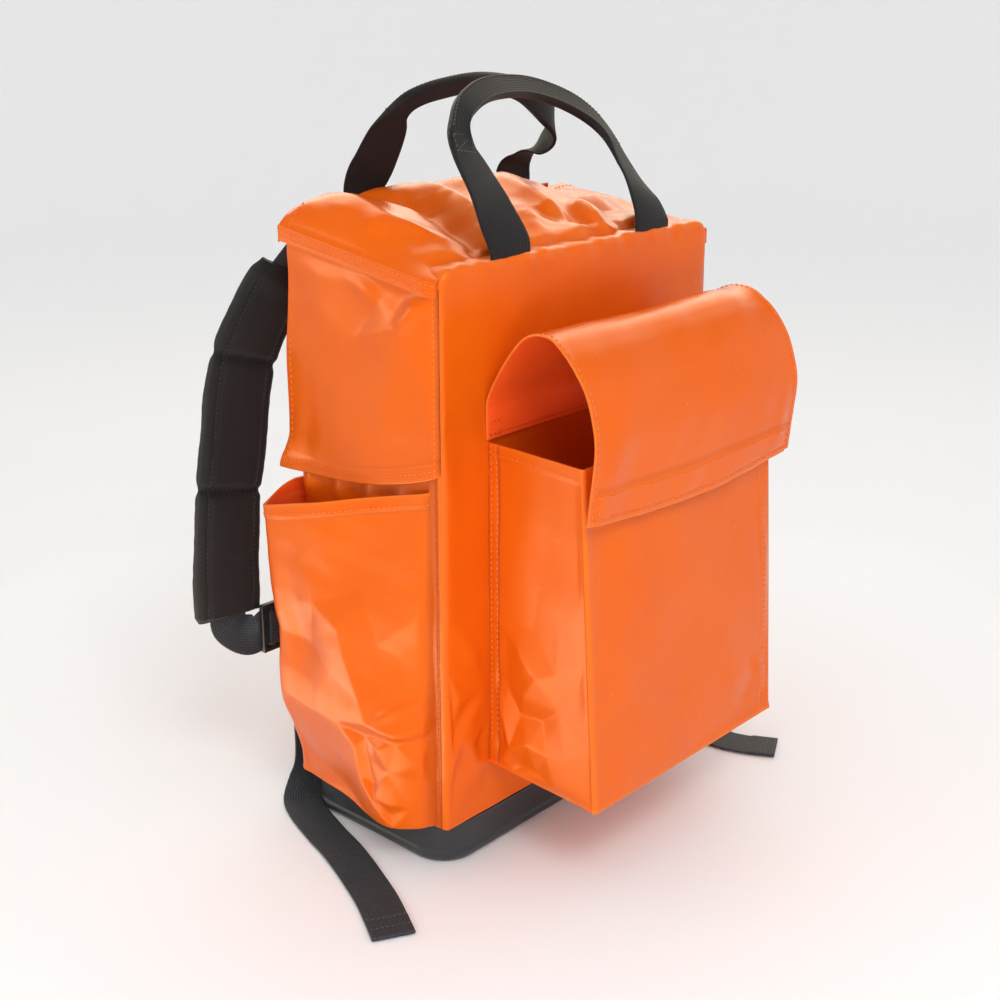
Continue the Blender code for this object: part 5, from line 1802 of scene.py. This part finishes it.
def area_light(name, place, target, sides, power, seen_by="both", rgb=(1.0, 1.0, 1.0)):
    """A rectangle of light, seen by both kinds of ray, or only by gloss or diffuse ones."""
    light = bpy.data.lights.new(name, "AREA")
    light.shape = "RECTANGLE"
    light.size, light.size_y = sides
    light.energy = power
    light.color = rgb
    obj = new_object(name, light)
    obj.location = place
    obj.rotation_euler = (Vector(target) - Vector(place)).to_track_quat("-Z", "Y").to_euler()
    obj.visible_glossy = seen_by != "diffuse"
    obj.visible_diffuse = seen_by != "gloss"


def build_stage():
    """A pale floor, soft lights, cards that only gloss sees, a dim white room and the camera."""
    settings = bpy.context.scene.backpack_stage
    bpy.context.scene.view_settings.view_transform = "Standard"
    turns = np.linspace(0, 2 * math.pi, 97)[:-1]
    rise = np.linspace(0, math.pi / 2, 13)
    profile = [(0.3, 0.0), (1.0, 0.0), (2.0, 0.0), (3.0, 0.0)]
    profile += [(3.0 + 1.5 * math.sin(t), 1.5 - 1.5 * math.cos(t)) for t in rise[1:]] + [(4.5, 3.0)]
    rings = np.array([[(r * math.cos(t), r * math.sin(t), z) for t in turns] for r, z in profile]) / MM
    faces = grid_quads(len(profile), len(turns), wrap=True)[:, ::-1].tolist()
    faces.append(list(range(len(turns)))[::-1])
    paper = plain_finish("studio_paper", settings.floor, 0.7)
    floor = mesh_object("studio_floor", rings.reshape(-1, 3), faces, [paper])
    floor.data.shade_smooth()
    world = bpy.data.worlds.new("studio_room")
    world.use_nodes = True
    room = {"Color": (1.0, 1.0, 1.0, 1.0), "Strength": 0.12}
    set_inputs(world.node_tree, world.node_tree.nodes["Background"], room)
    bpy.context.scene.world = world
    centre = (0.0, -0.03, 0.26)
    warm = (1.0, 0.84, 0.6)
    beside = (-0.1, 0.0, 0.2)
    over_card = (-0.4, 0.08, 1.0)
    fill = settings.fill
    area_light("overhead", (0.0, 0.0, 2.7), (0.0, 0.0, 0.0), (9.0, 9.0), settings.overhead, "diffuse")
    area_light("key_light", (-0.85, -1.2, 1.6), centre, (0.7, 0.5), settings.key)
    area_light("top_card", (1.15, 1.0, 1.5), centre, (2.6, 1.5), fill * 3.4, "gloss", warm)
    area_light("left_card", (-1.3, 1.25, 0.75), beside, (0.4, 0.8), fill * 0.9, "gloss", warm)
    area_light("floor_card", (-0.4, 0.08, 0.004), over_card, (0.26, 0.4), fill * 0.17, "gloss", warm)
    area_light("low_fill", (-1.15, -0.95, 0.25), centre, (0.5, 0.3), fill * 0.5, "diffuse")
    azimuth, elevation = math.radians(-47.90), math.radians(19.0)
    level = math.cos(elevation)
    away = Vector((math.sin(azimuth) * level, -math.cos(azimuth) * level, math.sin(elevation)))
    lens = bpy.data.cameras.new("camera")
    lens.lens = 54.0
    lens.sensor_width = 36.0
    lens.clip_start = 0.01
    camera = new_object("camera", lens)
    distance, target = 1.2091, Vector((-0.004, 0.0015, 0.2405))
    camera.location = target + away * distance
    camera.rotation_euler = away.to_track_quat("Z", "Y").to_euler()
    bpy.context.scene.camera = camera


# Operators


class FrontPanelOperator(bpy.types.Operator):
    """Adds the stiff front panel with its rolled top edge"""

    bl_idname = "backpack.front_panel"
    bl_label = "Front panel"

    def execute(self, context):
        front_panel()
        return {"FINISHED"}


class WallsOperator(bpy.types.Operator):
    """Adds the walls of the main compartment and the padded back"""

    bl_idname = "backpack.walls"
    bl_label = "Walls and back"

    def execute(self, context):
        main_walls()
        back_panel()
        return {"FINISHED"}


class TrayOperator(bpy.types.Operator):
    """Adds the moulded base tray"""

    bl_idname = "backpack.tray"
    bl_label = "Base tray"

    def execute(self, context):
        base_tray()
        return {"FINISHED"}


class LidOperator(bpy.types.Operator):
    """Adds the soft lid with its folds"""

    bl_idname = "backpack.lid"
    bl_label = "Lid"

    def execute(self, context):
        lid()
        return {"FINISHED"}


class FlapsOperator(bpy.types.Operator):
    """Adds both side flaps"""

    bl_idname = "backpack.flaps"
    bl_label = "Side flaps"

    def execute(self, context):
        side_flap("side_flap_left_cloth", -1)
        side_flap("side_flap_right_cloth", 1)
        return {"FINISHED"}


class SidePocketsOperator(bpy.types.Operator):
    """Adds both open side pockets"""

    bl_idname = "backpack.side_pockets"
    bl_label = "Side pockets"

    def execute(self, context):
        side_pocket("side_pocket_left_cloth", -1)
        side_pocket("side_pocket_right_cloth", 1)
        return {"FINISHED"}


class FrontPocketOperator(bpy.types.Operator):
    """Adds the box pocket on the front and its arched cover"""

    bl_idname = "backpack.front_pocket"
    bl_label = "Front pocket and cover"

    def execute(self, context):
        front_pocket()
        pocket_cover()
        return {"FINISHED"}


class HandlesOperator(bpy.types.Operator):
    """Adds the two webbing handles"""

    bl_idname = "backpack.handles"
    bl_label = "Handles"

    def execute(self, context):
        handle("front_handle_webbing", FRONT_HANDLE, -BACK + 1.2, -1, "front_handle")
        handle("back_handle_webbing", BACK_HANDLE, BACK - 1.2, 1, "back_handle")
        return {"FINISHED"}


class StrapsOperator(bpy.types.Operator):
    """Adds the shoulder pads, their webbing and their adjusters"""

    bl_idname = "backpack.straps"
    bl_label = "Shoulder straps"

    def execute(self, context):
        for side, label in ((-1, "left"), (1, "right")):
            shoulder_pad(side, label)
            strap_webbing(side, label)
            strap_fittings(side, label)
        return {"FINISHED"}


class StageOperator(bpy.types.Operator):
    """Adds the floor, the lights and the camera"""

    bl_idname = "backpack.stage"
    bl_label = "Stage"

    def execute(self, context):
        build_stage()
        return {"FINISHED"}


OPERATORS = (
    StageOperator,
    TrayOperator,
    WallsOperator,
    FrontPanelOperator,
    LidOperator,
    FlapsOperator,
    SidePocketsOperator,
    FrontPocketOperator,
    HandlesOperator,
    StrapsOperator,
)


class BackpackPanel(bpy.types.Panel):
    bl_idname = "VIEW3D_PT_backpack"
    bl_label = "Tool backpack"
    bl_space_type = "VIEW_3D"
    bl_region_type = "UI"
    bl_category = "Backpack"

    def draw(self, context):
        for group in ("cloth", "webbing", "tray", "stage"):
            box = self.layout.box()
            box.label(text=group.capitalize())
            settings = getattr(context.scene, "backpack_" + group)
            for key in settings.__annotations__:
                box.prop(settings, key)
        for operator in OPERATORS:
            self.layout.operator(operator.bl_idname)


SETTINGS = {
    "backpack_cloth": ClothSettings,
    "backpack_webbing": WebbingSettings,
    "backpack_tray": TraySettings,
    "backpack_stage": StageSettings,
}


def register():
    for group in SETTINGS.values():
        bpy.utils.register_class(group)
    for name, group in SETTINGS.items():
        setattr(bpy.types.Scene, name, PointerProperty(type=group))
    for operator in OPERATORS:
        bpy.utils.register_class(operator)
    bpy.utils.register_class(BackpackPanel)


def unregister():
    bpy.utils.unregister_class(BackpackPanel)
    for operator in reversed(OPERATORS):
        bpy.utils.unregister_class(operator)
    for name in SETTINGS:
        delattr(bpy.types.Scene, name)
    for group in reversed(SETTINGS.values()):
        bpy.utils.unregister_class(group)


def main():
    register()
    for operator in OPERATORS:
        group, name = operator.bl_idname.split(".")
        getattr(getattr(bpy.ops, group), name)()


if __name__ == "__main__":
    main()
